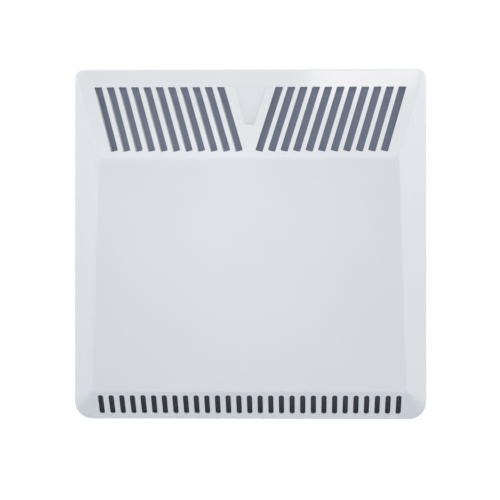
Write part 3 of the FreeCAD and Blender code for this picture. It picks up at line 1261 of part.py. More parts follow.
def cable_gland():
    """The gland in the tray's bottom wall: a flange below, a nose and a threaded stem, with an open bore."""
    top = TRAY_FLOOR_Z + GLAND_THREAD
    stem = rod(point(GLAND_X, GLAND_OUT, TRAY_BOTTOM), UP, GLAND_R, top - TRAY_BOTTOM)
    flange = rod(point(GLAND_X, GLAND_OUT, TRAY_BOTTOM), DOWN, GLAND_FLANGE_R, GLAND_FLANGE_T)
    nose_top = TRAY_BOTTOM - GLAND_FLANGE_T
    nose = Part.makeCone(GLAND_R, GLAND_NOSE_R, GLAND_NOSE, point(GLAND_X, GLAND_OUT, nose_top), DOWN)
    nose_end = nose_top - GLAND_NOSE
    bore = rod(point(GLAND_X, GLAND_OUT, nose_end), UP, GLAND_BORE_R, top - nose_end)
    return stem.fuse([flange, nose]).cut(bore).removeSplitter()


def gland_nut():
    """The gland's nut on the tray's floor."""
    start = point(GLAND_X, GLAND_OUT, TRAY_FLOOR_Z)
    return hexagon(start, UP, GLAND_NUT_FLATS, GLAND_NUT_T, GLAND_R + GLAND_GAP)


def earth_stud():
    """The earth stud through the back, with its nut over the lead's ring tag, each a solid of its own."""
    seat = point(STUD_X, CASE_BACK_OUT, STUD_Z)
    head = rod(seat, TO_WALL, SCREW_HEAD_R, SCREW_HEAD_T)
    stud = head.fuse(rod(seat, TO_FRONT, STUD_R, STUD_LENGTH)).removeSplitter()
    nut_out = CASE_FLOOR_OUT + TAG_T
    nut = hexagon(point(STUD_X, nut_out, STUD_Z), TO_FRONT, STUD_NUT_FLATS, STUD_NUT_T, STUD_R + STUD_GAP)
    return Part.makeCompound([stud, nut])


def bent_path(points, radius):
    """A wire of straight runs through the points, with a tangent arc at each corner."""
    edges = []
    start = points[0]
    for i in range(1, len(points) - 1):
        here = points[i]
        back = (points[i - 1] - here).normalize()
        ahead = (points[i + 1] - here).normalize()
        half = math.acos(max(-1.0, min(1.0, back.dot(ahead)))) / 2
        touch = radius / math.tan(half)
        middle = (back + ahead).normalize()
        top = here + middle * (radius / math.sin(half) - radius)
        edges.append(Part.LineSegment(start, here + back * touch).toShape())
        edges.append(Part.Arc(here + back * touch, top, here + ahead * touch).toShape())
        start = here + ahead * touch
    edges.append(Part.LineSegment(start, points[-1]).toShape())
    return Part.Wire(edges)


def lead(points):
    """A round insulated lead along a bent path, compared with its section times its length."""
    path = bent_path(points, LEAD_BEND_R)
    ring = Part.Wire(Part.makeCircle(LEAD_R, points[0], points[1] - points[0]))
    tube = path.makePipeShell([ring], True, False)
    expected = math.pi * LEAD_R ** 2 * path.Length
    print("lead", round(path.Length, 1), "mm, volume ratio", round(tube.Volume / expected, 4))
    return tube


def neutral_lead():
    """From the terminal block up to the element's right pin."""
    middle = CASE_FLOOR_OUT + BLOCK_D / 2
    rise_x = RIGHT_PIN_X + LEAD_RISE
    bend_z = (BLOCK_TOP + ELEMENT_Z) / 2
    return lead([
        point(pole_x(0), middle, BLOCK_TOP),
        point(pole_x(0), middle, bend_z),
        point(rise_x, ELEMENT_OUT, bend_z),
        point(rise_x, ELEMENT_OUT, ELEMENT_Z),
        point(RIGHT_PIN_X, ELEMENT_OUT, ELEMENT_Z),
    ])


def cutout_lead():
    """From the cut-out's rear tab into the control box and on to the thermostat."""
    out = ELEMENT_OUT - TAB_SPAN / 2
    return lead([
        point(CUTOUT_TAB_X, out, CUTOUT_Z),
        point(LEAD_BEND_X, out, CUTOUT_Z),
        point(LEAD_BEND_X, CONTROL_OUT, KNOB_Z),
        point(STAT_BACK_X, CONTROL_OUT, KNOB_Z),
    ])


def live_lead():
    """From the cut-out's front tab down, through the grommet and along the duct to the element's left pin."""
    far_x = LEFT_PIN_X - LEAD_BEND_R - LEAD_R
    return lead([
        point(CUTOUT_TAB_X, LEAD_RUN_OUT, CUTOUT_Z),
        point(LEAD_BEND_X, LEAD_RUN_OUT, CUTOUT_Z),
        point(LEAD_BEND_X, LEAD_RUN_OUT, LEAD_RUN_Z),
        point(far_x, LEAD_RUN_OUT, LEAD_RUN_Z),
        point(far_x, ELEMENT_OUT, ELEMENT_Z),
        point(LEFT_PIN_X, ELEMENT_OUT, ELEMENT_Z),
    ])


def switch_lead():
    """From the terminal block up and into the control box, to the power switch."""
    middle = CASE_FLOOR_OUT + BLOCK_D / 2
    return lead([
        point(pole_x(1), middle, BLOCK_TOP),
        point(pole_x(1), middle, (BLOCK_TOP + SWITCH_TAB_Z) / 2),
        point(pole_x(1), CONTROL_OUT, SWITCH_TAB_Z),
        point(SWITCH_BACK_X - TAB_LENGTH, CONTROL_OUT, SWITCH_TAB_Z),
    ])


def earth_lead():
    """From the terminal block to a ring tag under the earth stud's nut."""
    middle = CASE_FLOOR_OUT + BLOCK_D / 2
    tag_out = CASE_FLOOR_OUT + TAG_T
    crimp_out = CASE_FLOOR_OUT + LEAD_R + LEAD_CLEAR
    tail_z = STUD_Z - TAG_R - TAG_TAIL
    rise = tail_z - BLOCK_TOP
    cord = lead([
        point(pole_x(2), middle, BLOCK_TOP),
        point(pole_x(2), middle, BLOCK_TOP + rise / 4),
        point(STUD_X, crimp_out, tail_z - rise / 4),
        point(STUD_X, crimp_out, tail_z + TAG_TAIL / 2),
    ])
    ring = rod(point(STUD_X, CASE_FLOOR_OUT, STUD_Z), TO_FRONT, TAG_R, TAG_T)
    half = TAG_TAIL_W / 2
    tail = box(STUD_X - half, STUD_X + half, CASE_FLOOR_OUT, tag_out, tail_z, STUD_Z)
    hole = rod(point(STUD_X, CASE_FLOOR_OUT, STUD_Z), TO_FRONT, STUD_R + STUD_GAP, TAG_T)
    return ring.fuse([tail, cord]).cut(hole).removeSplitter()


def lead_grommet():
    """The rubber grommet round the live lead in the partition."""
    start = point(PARTITION_X - GROMMET_FLANGE_T, LEAD_RUN_OUT, LEAD_RUN_Z)
    far = point(PARTITION_FAR_X, LEAD_RUN_OUT, LEAD_RUN_Z)
    length = BRACKET_SHEET + 2 * GROMMET_FLANGE_T
    core = rod(start, TO_RIGHT, GROMMET_R, length)
    flanges = [rod(place, TO_RIGHT, GROMMET_FLANGE_R, GROMMET_FLANGE_T) for place in (start, far)]
    return core.fuse(flanges).cut(rod(start, TO_RIGHT, GROMMET_BORE_R, length)).removeSplitter()


def screw(place, direction):
    """A screw whose head bears at place and whose shank runs along direction."""
    head = Part.makeCylinder(SCREW_HEAD_R, SCREW_HEAD_T, Vector(0, 0, -SCREW_HEAD_T))
    head = round_edges(head, SCREW_HEAD_ROUND, lambda span: abs(span.ZMax + SCREW_HEAD_T) < NEAR)
    half_l, half_w = SCREW_CROSS_L / 2, SCREW_CROSS_W / 2
    corner = Vector(-half_l, -half_w, -SCREW_HEAD_T)
    cross = Part.makeBox(SCREW_CROSS_L, SCREW_CROSS_W, SCREW_CROSS_DEPTH, corner)
    corner = Vector(-half_w, -half_l, -SCREW_HEAD_T)
    cross = cross.fuse(Part.makeBox(SCREW_CROSS_W, SCREW_CROSS_L, SCREW_CROSS_DEPTH, corner))
    whole = head.fuse(Part.makeCylinder(SCREW_R, SCREW_LENGTH)).removeSplitter().cut(cross)
    whole.Placement = FreeCAD.Placement(place, FreeCAD.Rotation(UP, direction))
    return whole


def screws_from_behind(places, out):
    """Screws driven from the wall's side, with their heads at one distance from the wall."""
    return Part.makeCompound([screw(point(x, out, z), TO_FRONT) for x, z in places])


def control_screws():
    """The two screws that clamp the fascia, the wall and the control box."""
    seats = [point(FASCIA_X, CONTROL_OUT, z) for z in fascia_screw_zs()]
    return Part.makeCompound([screw(seat, TO_RIGHT * -1) for seat in seats])


def main():
    os.makedirs("parts", exist_ok=True)
    pieces = {
        "front_panel": front_panel(),
        "rear_casing": rear_casing(),
        "wall_rail": wall_rail(),
        "wall_buffers": wall_buffers(),
        "element_fins": element_fins(),
        "element_rod": element_rod(),
        "element_bush_left": element_bush(BRACKET_X, -1),
        "element_bush_right": element_bush(PARTITION_X, 1),
        "element_bracket": element_bracket(),
        "control_partition": control_partition(),
        "overheat_cutout": overheat_cutout(),
        "cutout_rivets": cutout_rivets(),
        "heat_shield": heat_shield(),
        "outlet_baffle": outlet_baffle(),
        "outlet_deflector": outlet_deflector(),
        "intake_guard": intake_guard(),
        "control_fascia": control_fascia(),
        "control_box": control_box(),
        "thermostat_body": thermostat_body(),
        "thermostat_nut": thermostat_nut(),
        "thermostat_spindle": thermostat_spindle(),
        "thermostat_knob": thermostat_knob(),
        "power_switch_body": switch_body(POWER_Z),
        "power_rocker": rocker(POWER_Z),
        "boost_switch_body": switch_body(BOOST_Z),
        "boost_rocker": rocker(BOOST_Z),
        "lamp_lens": lamp_lens(),
        "terminal_block": terminal_block(),
        "terminal_screws": terminal_screws(),
        "cable_gland": cable_gland(),
        "gland_nut": gland_nut(),
        "earth_stud": earth_stud(),
        "neutral_lead": neutral_lead(),
        "live_lead": live_lead(),
        "switch_lead": switch_lead(),
        "cutout_lead": cutout_lead(),
        "earth_lead": earth_lead(),
        "lead_grommet": lead_grommet(),
        "casing_screws": screws_from_behind(casing_screw_places(), SHOULDER_BACK_OUT),
        "baffle_screws": screws_from_behind(baffle_screw_places(), SHOULDER_BACK_OUT),
        "chassis_screws": screws_from_behind(chassis_screw_places(), CASE_BACK_OUT),
        "control_screws": control_screws(),
    }
    for name, shape in pieces.items():
        shape.exportStep(f"parts/{name}.step")
        valid = shape.isValid()
        print(name, "solids", len(shape.Solids), "valid", valid, "volume", round(shape.Volume, 1))


main()
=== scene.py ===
"""Wall-hung electric convector heater: finishes, printed marks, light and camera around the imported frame.

Lengths are in metres. +X is the viewer's right, -Y is the front and +Z is up.
"""

import json
import math

import bmesh
import bpy
from mathutils import Matrix, Vector


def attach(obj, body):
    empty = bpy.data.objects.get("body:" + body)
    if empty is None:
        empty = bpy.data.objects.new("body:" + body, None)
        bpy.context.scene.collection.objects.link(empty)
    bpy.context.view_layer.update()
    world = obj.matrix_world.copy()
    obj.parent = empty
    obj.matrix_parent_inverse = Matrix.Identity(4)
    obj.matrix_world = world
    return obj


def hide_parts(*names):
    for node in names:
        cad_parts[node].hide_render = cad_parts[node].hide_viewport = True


MM = 0.001
UM = 0.000001

# Picture: 500 pixels square, with the heater's middle a little above the picture's middle.
PICTURE_PX = 500
FOCAL_PX = 1864.0
SENSOR_MM = 36.0
MIDDLE_PX = (250.5, 243.7)
CAMERA_PLACE = (63.5 * MM, -2263 * MM, -124 * MM)
CAMERA_AIM = (0.4 * MM, -63 * MM, -94.8 * MM)
CAMERA_REACH = 100.0

# Surroundings and floor. Seen directly, the floor is part glow, and the rest is matt and takes the shadow.
SKY_COLOUR = (0.97, 0.985, 1.0, 1.0)
SKY_STRENGTH = 0.293
WHITE = (1.0, 1.0, 1.0, 1.0)
FLOOR_Z = -0.62
FLOOR_SIDE = 40.0
FLOOR_TONES = ("#dcdfec", "#d8dbe8")
FLOOR_CLOUD = 300 * MM
FLOOR_GLOW = 1.26
FLOOR_GLOW_SHARE = 0.8

# Lamps. A softbox has a place, a width, a height, watts, whether glossy surfaces mirror it, and a tint.
SOFTBOX_AIM = (0.0, -80 * MM, -95 * MM)
WHITE_LIGHT = (1.0, 1.0, 1.0)
SIDE_LIGHT = (0.98, 1.0, 0.98)
KEY_LIGHT = (1.0, 0.82, 0.78)
SOFTBOXES = {
    "key_softbox": ((0.225, -1.106, 1.8), 0.34, 0.25, 0.95, True, KEY_LIGHT),
    "left_softbox": ((-1.21, -0.16, 0.75), 1.4, 1.4, 15.0, False, SIDE_LIGHT),
    "right_softbox": ((1.15, -0.25, 0.85), 1.4, 1.4, 16.4, False, SIDE_LIGHT),
    "fill_softbox": ((0.07, -2.4, -0.1), 0.5, 0.5, 17.0, False, WHITE_LIGHT),
}
SPOT_PLACE = (-0.5, -1.5, 0.6)
SPOT_AIM = (-0.03, -0.11, -0.09)
SPOT_WATTS = 14.3
SPOT_CONE = math.radians(14)
SPOT_BLEND = 1.0
SPOT_RADIUS = 0.1

# Widths and depths of the patterns that belong to one kind of finish.
COAT_CLOUD = 90 * MM
SPANGLE_WARP = 1.5 * MM
ZINC_GRAIN = 0.8 * MM
ZINC_GRAIN_DEPTH = 8 * UM
DIE_LINE_STRETCH = 60.0
DIE_LINE_DEPTH = 15 * UM
PLATE_PIT = 0.5 * MM
PLATE_PIT_DEPTH = 8 * UM
MOULD_CLOUD = 6 * MM
LENS_CLOUD = 2 * MM
LENS_RING_RADIAN = 0.8 * MM
LENS_RING_DEPTH = 30 * UM
STRAND_RADIAN = 0.9 * MM
STRAND_LAY = math.radians(45)
STRAND_DEPTH = 120 * UM
STRIPE_RADIAN = 2.6 * MM
JACKET_GRAIN = 0.6 * MM
JACKET_GRAIN_DEPTH = 12 * UM

# A wave texture turns through 20 radians for each unit of its scale.
WAVE_RADIANS = 20

# How far each kind of finish strays from its mean roughness, as a part of it.
COAT_DRIFT = 0.1
SPANGLE_DRIFT = 0.2
DIE_LINE_DRIFT = 0.25
PLATE_DRIFT = 0.3
MOULD_DRIFT = 0.15

# Painted light: coats made paler towards the shaded ends of the slots they are seen through. Each gives the
# paler colour, the height where it starts and the height where it ends.
# The slate is painted paler towards its top, as light where the hood shades it.
SLATE_PAINTED_LIGHT = ("#a0aabf", 76 * MM, 88 * MM)
# The guard's dark coat is painted shade behind the intake slots. It is painted paler towards its bottom, as
# light where the hood's lower rim shades it.
GUARD_PAINTED_LIGHT = ("#6d6c79", -282 * MM, -293 * MM)

# Hood: the distance within which its corners are merged, and the bend above which an edge stays sharp.
HOOD_MERGE = 0.002 * MM
HOOD_SHARP = math.radians(28)
# Large faces lead the shading as far as they can, so that flat faces stay flat beside their bends.
LARGE_FACE_WEIGHT = 100

# Controls on the right side, from the part's source.
FASCIA_X = 185.9 * MM
CONTROL_Y = -34 * MM
KNOB_Z = -137.5 * MM
KNOB_FACE_X = 200.5 * MM
KNOB_SKIRT_R = 12.4 * MM
LENS_Z = -171.5 * MM
ROCKER_X = 185.3 * MM
ROCKER_ZS = {"power": -199.5 * MM, "boost": -225.5 * MM}
ROCKER_HALF = 8.2 * MM
ROCKER_CREST = 3.4 * MM
ROCKER_DIP = 1.2 * MM
ROCKER_TILT = math.radians(11)

# Printed marks: a skin of ink, sunk a little into the face that carries it.
INK_T = 0.04 * MM
INK_SINK = 0.02 * MM
INK_MERGE = 0.001 * MM
FIGURE_COUNT = 6
FIGURE_STEP = math.radians(45)
FIGURE_HEIGHT = 3.2 * MM
FIGURE_RING_R = 7.4 * MM
INDEX_R = 1.5 * MM
INDEX_GAP = 3 * MM
MARK_HEIGHT = 4.0 * MM
MARK_REACH = 4.6 * MM


def linear(hex_colour):
    """An sRGB hex colour as linear light with full alpha."""
    parts = [int(hex_colour[i:i + 2], 16) / 255 for i in (1, 3, 5)]
    return tuple(c / 12.92 if c <= 0.04045 else ((c + 0.055) / 1.055) ** 2.4 for c in parts) + (1.0,)


def add(owner, kind, inputs, **settings):
    """Adds a node to a material or world.

    Settings are the node's properties; inputs are socket values, or the sockets that feed them.
    """
    node = owner.node_tree.nodes.new(kind)
    for name, value in settings.items():
        setattr(node, name, value)
    for name, value in inputs.items():
        if isinstance(value, bpy.types.NodeSocket):
            owner.node_tree.links.new(value, node.inputs[name])
        else:
            node.inputs[name].default_value = value
    return node


def new_material(name):
    """An empty node material and its Object coordinates."""
    material = bpy.data.materials.new(name)
    material.use_nodes = True
    material.node_tree.nodes.clear()
    return material, add(material, "ShaderNodeTexCoord", {}).outputs["Object"]


def powder_coat(name, colour, shade, rough, peel_mm, peel_um, painted_light=None):
    """Powder coat baked on steel. The eye sees a smooth, even skin whose highlights waver with orange peel.

    Painted light is a colour and two heights: the coat is painted paler, up to that colour, from the first
    height to the second, to lift the shade that falls there.
    """
    material, place = new_material(name)
    cloud = add(material, "ShaderNodeTexNoise", {
        "Vector": place, "Scale": 1 / COAT_CLOUD, "Detail": 2.0})
    tone = add(material, "ShaderNodeMixRGB", {
        "Fac": cloud.outputs["Fac"], "Color1": linear(colour), "Color2": linear(shade)})
    # Painted light: the coat pales from one height to the other to lift the shade there.
    if painted_light:
        pale, start, end = painted_light
        height = add(material, "ShaderNodeSeparateXYZ", {"Vector": place})
        paling = add(material, "ShaderNodeMapRange", {
            "Value": height.outputs["Z"], "From Min": start, "From Max": end})
        tone = add(material, "ShaderNodeMixRGB", {
            "Fac": paling.outputs["Result"], "Color1": tone.outputs["Color"], "Color2": linear(pale)})
    peel = add(material, "ShaderNodeTexNoise", {
        "Vector": place, "Scale": 1 / (peel_mm * MM), "Detail": 1.0})
    skin = add(material, "ShaderNodeBump", {
        "Height": peel.outputs["Fac"], "Strength": 1.0, "Distance": peel_um * UM})
    gloss = add(material, "ShaderNodeMapRange", {
        "Value": cloud.outputs["Fac"],
        "To Min": rough * (1 - COAT_DRIFT), "To Max": rough * (1 + COAT_DRIFT)})
    shader = add(material, "ShaderNodeBsdfPrincipled", {
        "Base Color": tone.outputs["Color"], "Roughness": gloss.outputs["Result"], "IOR": 1.5,
        "Normal": skin.outputs["Normal"]})
    add(material, "ShaderNodeOutputMaterial", {"Surface": shader.outputs["BSDF"]})
    return material


def galvanised_sheet(name, light, dark, spangle_mm, rough):
    """Hot-dip galvanised steel. Zinc crystals show as flat spangles that differ in tone and in gloss."""
    material, place = new_material(name)
    warp = add(material, "ShaderNodeTexNoise", {
        "Vector": place, "Scale": 1 / (spangle_mm * MM), "Detail": 1.0})
    bent = add(material, "ShaderNodeMixRGB", {
        "Fac": SPANGLE_WARP, "Color1": place, "Color2": warp.outputs["Color"]}, blend_type="ADD")
    cells = add(material, "ShaderNodeTexVoronoi", {
        "Vector": bent.outputs["Color"], "Scale": 1 / (spangle_mm * MM)})
    pick = add(material, "ShaderNodeSeparateColor", {"Color": cells.outputs["Color"]})
    tone = add(material, "ShaderNodeMixRGB", {
        "Fac": pick.outputs["Red"], "Color1": linear(light), "Color2": linear(dark)})
    gloss = add(material, "ShaderNodeMapRange", {
        "Value": pick.outputs["Green"],
        "To Min": rough * (1 - SPANGLE_DRIFT), "To Max": rough * (1 + SPANGLE_DRIFT)})
    grain = add(material, "ShaderNodeTexNoise", {
        "Vector": place, "Scale": 1 / ZINC_GRAIN, "Detail": 2.0})
    skin = add(material, "ShaderNodeBump", {
        "Height": grain.outputs["Fac"], "Strength": 0.6, "Distance": ZINC_GRAIN_DEPTH})
    shader = add(material, "ShaderNodeBsdfPrincipled", {
        "Base Color": tone.outputs["Color"], "Roughness": gloss.outputs["Result"], "Metallic": 1.0,
        "Normal": skin.outputs["Normal"]})
    add(material, "ShaderNodeOutputMaterial", {"Surface": shader.outputs["BSDF"]})
    return material


def drawn_metal(name, light, dark, line_mm, rough):
    """Metal drawn or rolled along X. Die lines run the length of the piece and streak its highlights.

    The lines are drawn coarser than real ones, which are too fine to show.
    """
    material, place = new_material(name)
    along = add(material, "ShaderNodeMapping", {
        "Vector": place, "Scale": (1 / DIE_LINE_STRETCH, 1.0, 1.0)})
    lines = add(material, "ShaderNodeTexNoise", {
        "Vector": along.outputs["Vector"], "Scale": 1 / (line_mm * MM), "Detail": 3.0})
    tone = add(material, "ShaderNodeMixRGB", {
        "Fac": lines.outputs["Fac"], "Color1": linear(light), "Color2": linear(dark)})
    gloss = add(material, "ShaderNodeMapRange", {
        "Value": lines.outputs["Fac"],
        "To Min": rough * (1 - DIE_LINE_DRIFT), "To Max": rough * (1 + DIE_LINE_DRIFT)})
    skin = add(material, "ShaderNodeBump", {
        "Height": lines.outputs["Fac"], "Strength": 0.8, "Distance": DIE_LINE_DEPTH})
    shader = add(material, "ShaderNodeBsdfPrincipled", {
        "Base Color": tone.outputs["Color"], "Roughness": gloss.outputs["Result"], "Metallic": 1.0,
        "Normal": skin.outputs["Normal"]})
    add(material, "ShaderNodeOutputMaterial", {"Surface": shader.outputs["BSDF"]})
    return material


def plated_metal(name, light, dark, patch_mm, rough):
    """Electroplated or turned small metal. Its bright skin shifts in tone in soft patches.

    Its slight pits are drawn coarser than real ones, which are too fine to show.
    """
    material, place = new_material(name)
    patch = add(material, "ShaderNodeTexNoise", {
        "Vector": place, "Scale": 1 / (patch_mm * MM), "Detail": 3.0})
    tone = add(material, "ShaderNodeMixRGB", {
        "Fac": patch.outputs["Fac"], "Color1": linear(light), "Color2": linear(dark)})
    gloss = add(material, "ShaderNodeMapRange", {
        "Value": patch.outputs["Fac"],
        "To Min": rough * (1 - PLATE_DRIFT), "To Max": rough * (1 + PLATE_DRIFT)})
    pits = add(material, "ShaderNodeTexNoise", {
        "Vector": place, "Scale": 1 / PLATE_PIT, "Detail": 2.0})
    skin = add(material, "ShaderNodeBump", {
        "Height": pits.outputs["Fac"], "Strength": 0.5, "Distance": PLATE_PIT_DEPTH})
    shader = add(material, "ShaderNodeBsdfPrincipled", {
        "Base Color": tone.outputs["Color"], "Roughness": gloss.outputs["Result"], "Metallic": 1.0,
        "Normal": skin.outputs["Normal"]})
    add(material, "ShaderNodeOutputMaterial", {"Surface": shader.outputs["BSDF"]})
    return material


def moulded(name, colour, shade, grain_mm, grain_um, rough, ior=1.5):
    """Moulded plastic, rubber or fired ceramic. The tool's spark texture or the fired grain dulls its sheen.

    The grain is drawn coarser than the real one, which is too fine to show.
    """
    material, place = new_material(name)
    cloud = add(material, "ShaderNodeTexNoise", {
        "Vector": place, "Scale": 1 / MOULD_CLOUD, "Detail": 3.0})
    tone = add(material, "ShaderNodeMixRGB", {
        "Fac": cloud.outputs["Fac"], "Color1": linear(colour), "Color2": linear(shade)})
    grain = add(material, "ShaderNodeTexNoise", {
        "Vector": place, "Scale": 1 / (grain_mm * MM), "Detail": 3.0})
    gloss = add(material, "ShaderNodeMapRange", {
        "Value": grain.outputs["Fac"],
        "To Min": rough * (1 - MOULD_DRIFT), "To Max": rough * (1 + MOULD_DRIFT)})
    skin = add(material, "ShaderNodeBump", {
        "Height": grain.outputs["Fac"], "Strength": 1.0, "Distance": grain_um * UM})
    shader = add(material, "ShaderNodeBsdfPrincipled", {
        "Base Color": tone.outputs["Color"], "Roughness": gloss.outputs["Result"], "IOR": ior,
        "Normal": skin.outputs["Normal"]})
    add(material, "ShaderNodeOutputMaterial", {"Surface": shader.outputs["BSDF"]})
    return material


def lens_plastic(name, colour, shade):
    """Clear tinted acrylic. Moulded rings round its middle catch light, and some light passes through."""
    material, place = new_material(name)
    cloud = add(material, "ShaderNodeTexNoise", {
        "Vector": place, "Scale": 1 / LENS_CLOUD, "Detail": 2.0})
    tone = add(material, "ShaderNodeMixRGB", {
        "Fac": cloud.outputs["Fac"], "Color1": linear(colour), "Color2": linear(shade)})
    middle = add(material, "ShaderNodeMapping", {"Vector": place, "Location": (0.0, -CONTROL_Y, -LENS_Z)})
    rings = add(material, "ShaderNodeTexWave", {
        "Vector": middle.outputs["Vector"], "Scale": 1 / (WAVE_RADIANS * LENS_RING_RADIAN)},
        wave_type="RINGS", rings_direction="X")
    skin = add(material, "ShaderNodeBump", {
        "Height": rings.outputs["Fac"], "Strength": 0.7, "Distance": LENS_RING_DEPTH})
    shader = add(material, "ShaderNodeBsdfPrincipled", {
        "Base Color": tone.outputs["Color"], "Roughness": 0.12, "IOR": 1.49, "Transmission Weight": 0.35,
        "Normal": skin.outputs["Normal"]})
    add(material, "ShaderNodeOutputMaterial", {"Surface": shader.outputs["BSDF"]})
    return material


def braided_sleeve(name, colour, shade):
    """Braided glass-fibre sleeve. Crossing strands, drawn coarser than real ones, give it a woven, dry look."""
    material, place = new_material(name)
    heights = []
    for lay in (STRAND_LAY, -STRAND_LAY):
        turned = add(material, "ShaderNodeMapping", {"Vector": place, "Rotation": (lay, lay, 0)})
        strands = add(material, "ShaderNodeTexWave", {
            "Vector": turned.outputs["Vector"], "Scale": 1 / (WAVE_RADIANS * STRAND_RADIAN),
            "Distortion": 0.4}, bands_direction="Z")
        heights.append(strands.outputs["Fac"])
    weave = add(material, "ShaderNodeMath", {0: heights[0], 1: heights[1]}, operation="MAXIMUM")
    tone = add(material, "ShaderNodeMixRGB", {
        "Fac": weave.outputs["Value"], "Color1": linear(shade), "Color2": linear(colour)})
    skin = add(material, "ShaderNodeBump", {
        "Height": weave.outputs["Value"], "Strength": 1.0, "Distance": STRAND_DEPTH})
    shader = add(material, "ShaderNodeBsdfPrincipled", {
        "Base Color": tone.outputs["Color"], "Roughness": 0.85, "Normal": skin.outputs["Normal"]})
    add(material, "ShaderNodeOutputMaterial", {"Surface": shader.outputs["BSDF"]})
    return material


def striped_jacket(name, first, second):
    """Two-colour silicone jacket of an earth lead. Broad bands of the two colours meet at a crisp edge."""
    material, place = new_material(name)
    bands = add(material, "ShaderNodeTexWave", {
        "Vector": place, "Scale": 1 / (WAVE_RADIANS * STRIPE_RADIAN)}, bands_direction="X")
    edge = add(material, "ShaderNodeMapRange", {
        "Value": bands.outputs["Fac"], "From Min": 0.45, "From Max": 0.55})
    tone = add(material, "ShaderNodeMixRGB", {
        "Fac": edge.outputs["Result"], "Color1": linear(first), "Color2": linear(second)})
    grain = add(material, "ShaderNodeTexNoise", {
        "Vector": place, "Scale": 1 / JACKET_GRAIN, "Detail": 2.0})
    skin = add(material, "ShaderNodeBump", {
        "Height": grain.outputs["Fac"], "Strength": 0.6, "Distance": JACKET_GRAIN_DEPTH})
    shader = add(material, "ShaderNodeBsdfPrincipled", {
        "Base Color": tone.outputs["Color"], "Roughness": 0.5, "Normal": skin.outputs["Normal"]})
    add(material, "ShaderNodeOutputMaterial", {"Surface": shader.outputs["BSDF"]})
    return material


def make_finishes():
    """One finish for each material slot of the record, and one for the guard, whose coat is its own: a dark
    painted shade behind the intake slots that pales towards its bottom as painted light.
    """
    return {
        # Coats: colour, shade, roughness, the orange peel's width in mm and depth in um, and any painted light.
        "white_powder_coat": powder_coat("white_powder_coat", "#dddfe1", "#d9dbdd", 0.08, 3.0, 2.0),
        # Painted light: the slate coat pales towards its top, where the hood shades it behind the outlet slots.
        "slate_paint": powder_coat("slate_paint", "#848c9e", "#7e8698", 0.6, 1.5, 10.0, SLATE_PAINTED_LIGHT),
        "graphite_powder_coat": powder_coat("graphite_powder_coat", "#555661", "#4f505b", 0.55, 1.5, 12.0),
        # Painted shade: the guard's dark coat stands in for the shade behind the intake slots, and it pales
        # towards its bottom as painted light.
        "intake_guard": powder_coat("painted_shade_guard_coat", "#3f3d48", "#3b3944", 0.55, 1.5, 12.0, GUARD_PAINTED_LIGHT),
        # Metals: light tone, dark tone, the width of a spangle, line or patch in mm, and roughness.
        "galvanised_steel": galvanised_sheet("galvanised_steel", "#b9bdc0", "#9da2a6", 7.0, 0.42),
        "bright_shield_steel": drawn_metal("rolled_shield_steel", "#b4b4b2", "#9c9a96", 0.8, 0.35),
        "raw_aluminium": drawn_metal("extruded_aluminium", "#c9cbcd", "#b2b4b6", 0.7, 0.38),
        "sheath_steel": drawn_metal("drawn_sheath_steel", "#9a9894", "#827f79", 0.5, 0.4),
        "zinc_fastener": plated_metal("zinc_plate", "#cfd1cd", "#b4babd", 2.5, 0.3),
        "brass_stud": plated_metal("turned_brass", "#d9b46a", "#bd9448", 2.0, 0.28),
        # Mouldings: colour, shade, the grain's width in mm and depth in um, roughness, and any IOR but 1.5.
        "black_rubber": moulded("moulded_rubber", "#2a2a2b", "#212122", 0.7, 25.0, 0.8),
        "white_ceramic": moulded("fired_ceramic", "#e6e0d2", "#d9d1be", 0.5, 20.0, 0.6, 1.55),
        "cutout_phenolic": moulded("moulded_phenolic", "#3a2f2a", "#2c2421", 0.8, 10.0, 0.45, 1.6),
        "grey_abs": moulded("spark_textured_abs", "#cfd3d6", "#c6cace", 0.6, 30.0, 0.5, 1.53),
        "white_abs": moulded("satin_abs", "#dfe1e3", "#d8dadd", 0.5, 8.0, 0.35, 1.53),
        "white_polyamide": moulded("natural_polyamide", "#dcd8cc", "#cfcabc", 0.7, 15.0, 0.5, 1.53),
        "black_polyamide": moulded("black_polyamide", "#26272a", "#1d1e20", 0.6, 18.0, 0.45, 1.53),
        "blue_lead": moulded("blue_silicone", "#2f56a0", "#274a8d", 0.6, 12.0, 0.5),
        "brown_lead": moulded("brown_silicone", "#6b4227", "#5a361f", 0.6, 12.0, 0.5),
        # Finishes of two colours that one piece alone wears.
        "amber_lens": lens_plastic("amber_acrylic", "#e8891c", "#d96f10"),
        "glass_sleeve": braided_sleeve("braided_glass_sleeve", "#ded6c0", "#a39b86"),
        "earth_lead_jacket": striped_jacket("green_yellow_silicone", "#3f8f3a", "#d8c62f"),
    }


def link_piece(name, bm, finish, body):
    """Turns a bmesh into a piece that rides on a body and wears a finish."""
    mesh = bpy.data.meshes.new(name)
    bm.to_mesh(mesh)
    bm.free()
    mesh.materials.append(finish)
    piece = bpy.data.objects.new(name, mesh)
    bpy.context.scene.collection.objects.link(piece)
    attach(piece, body)
    return piece


def hood_skin(panel_mesh, finish):
    """The hood in the CAD panel's place: merged, smooth across its bends and sharp at its edges."""
    bm = bmesh.new()
    bm.from_mesh(panel_mesh)
    bmesh.ops.remove_doubles(bm, verts=bm.verts, dist=HOOD_MERGE)
    for face in bm.faces:
        face.smooth = True
        face.material_index = 0
    for edge in bm.edges:
        edge.smooth = edge.calc_face_angle(math.pi) < HOOD_SHARP
    piece = link_piece("hood_skin", bm, finish, "heater")
    weighted = piece.modifiers.new("even_shading", "WEIGHTED_NORMAL")
    weighted.keep_sharp = True
    weighted.weight = LARGE_FACE_WEIGHT
    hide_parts("front_panel")


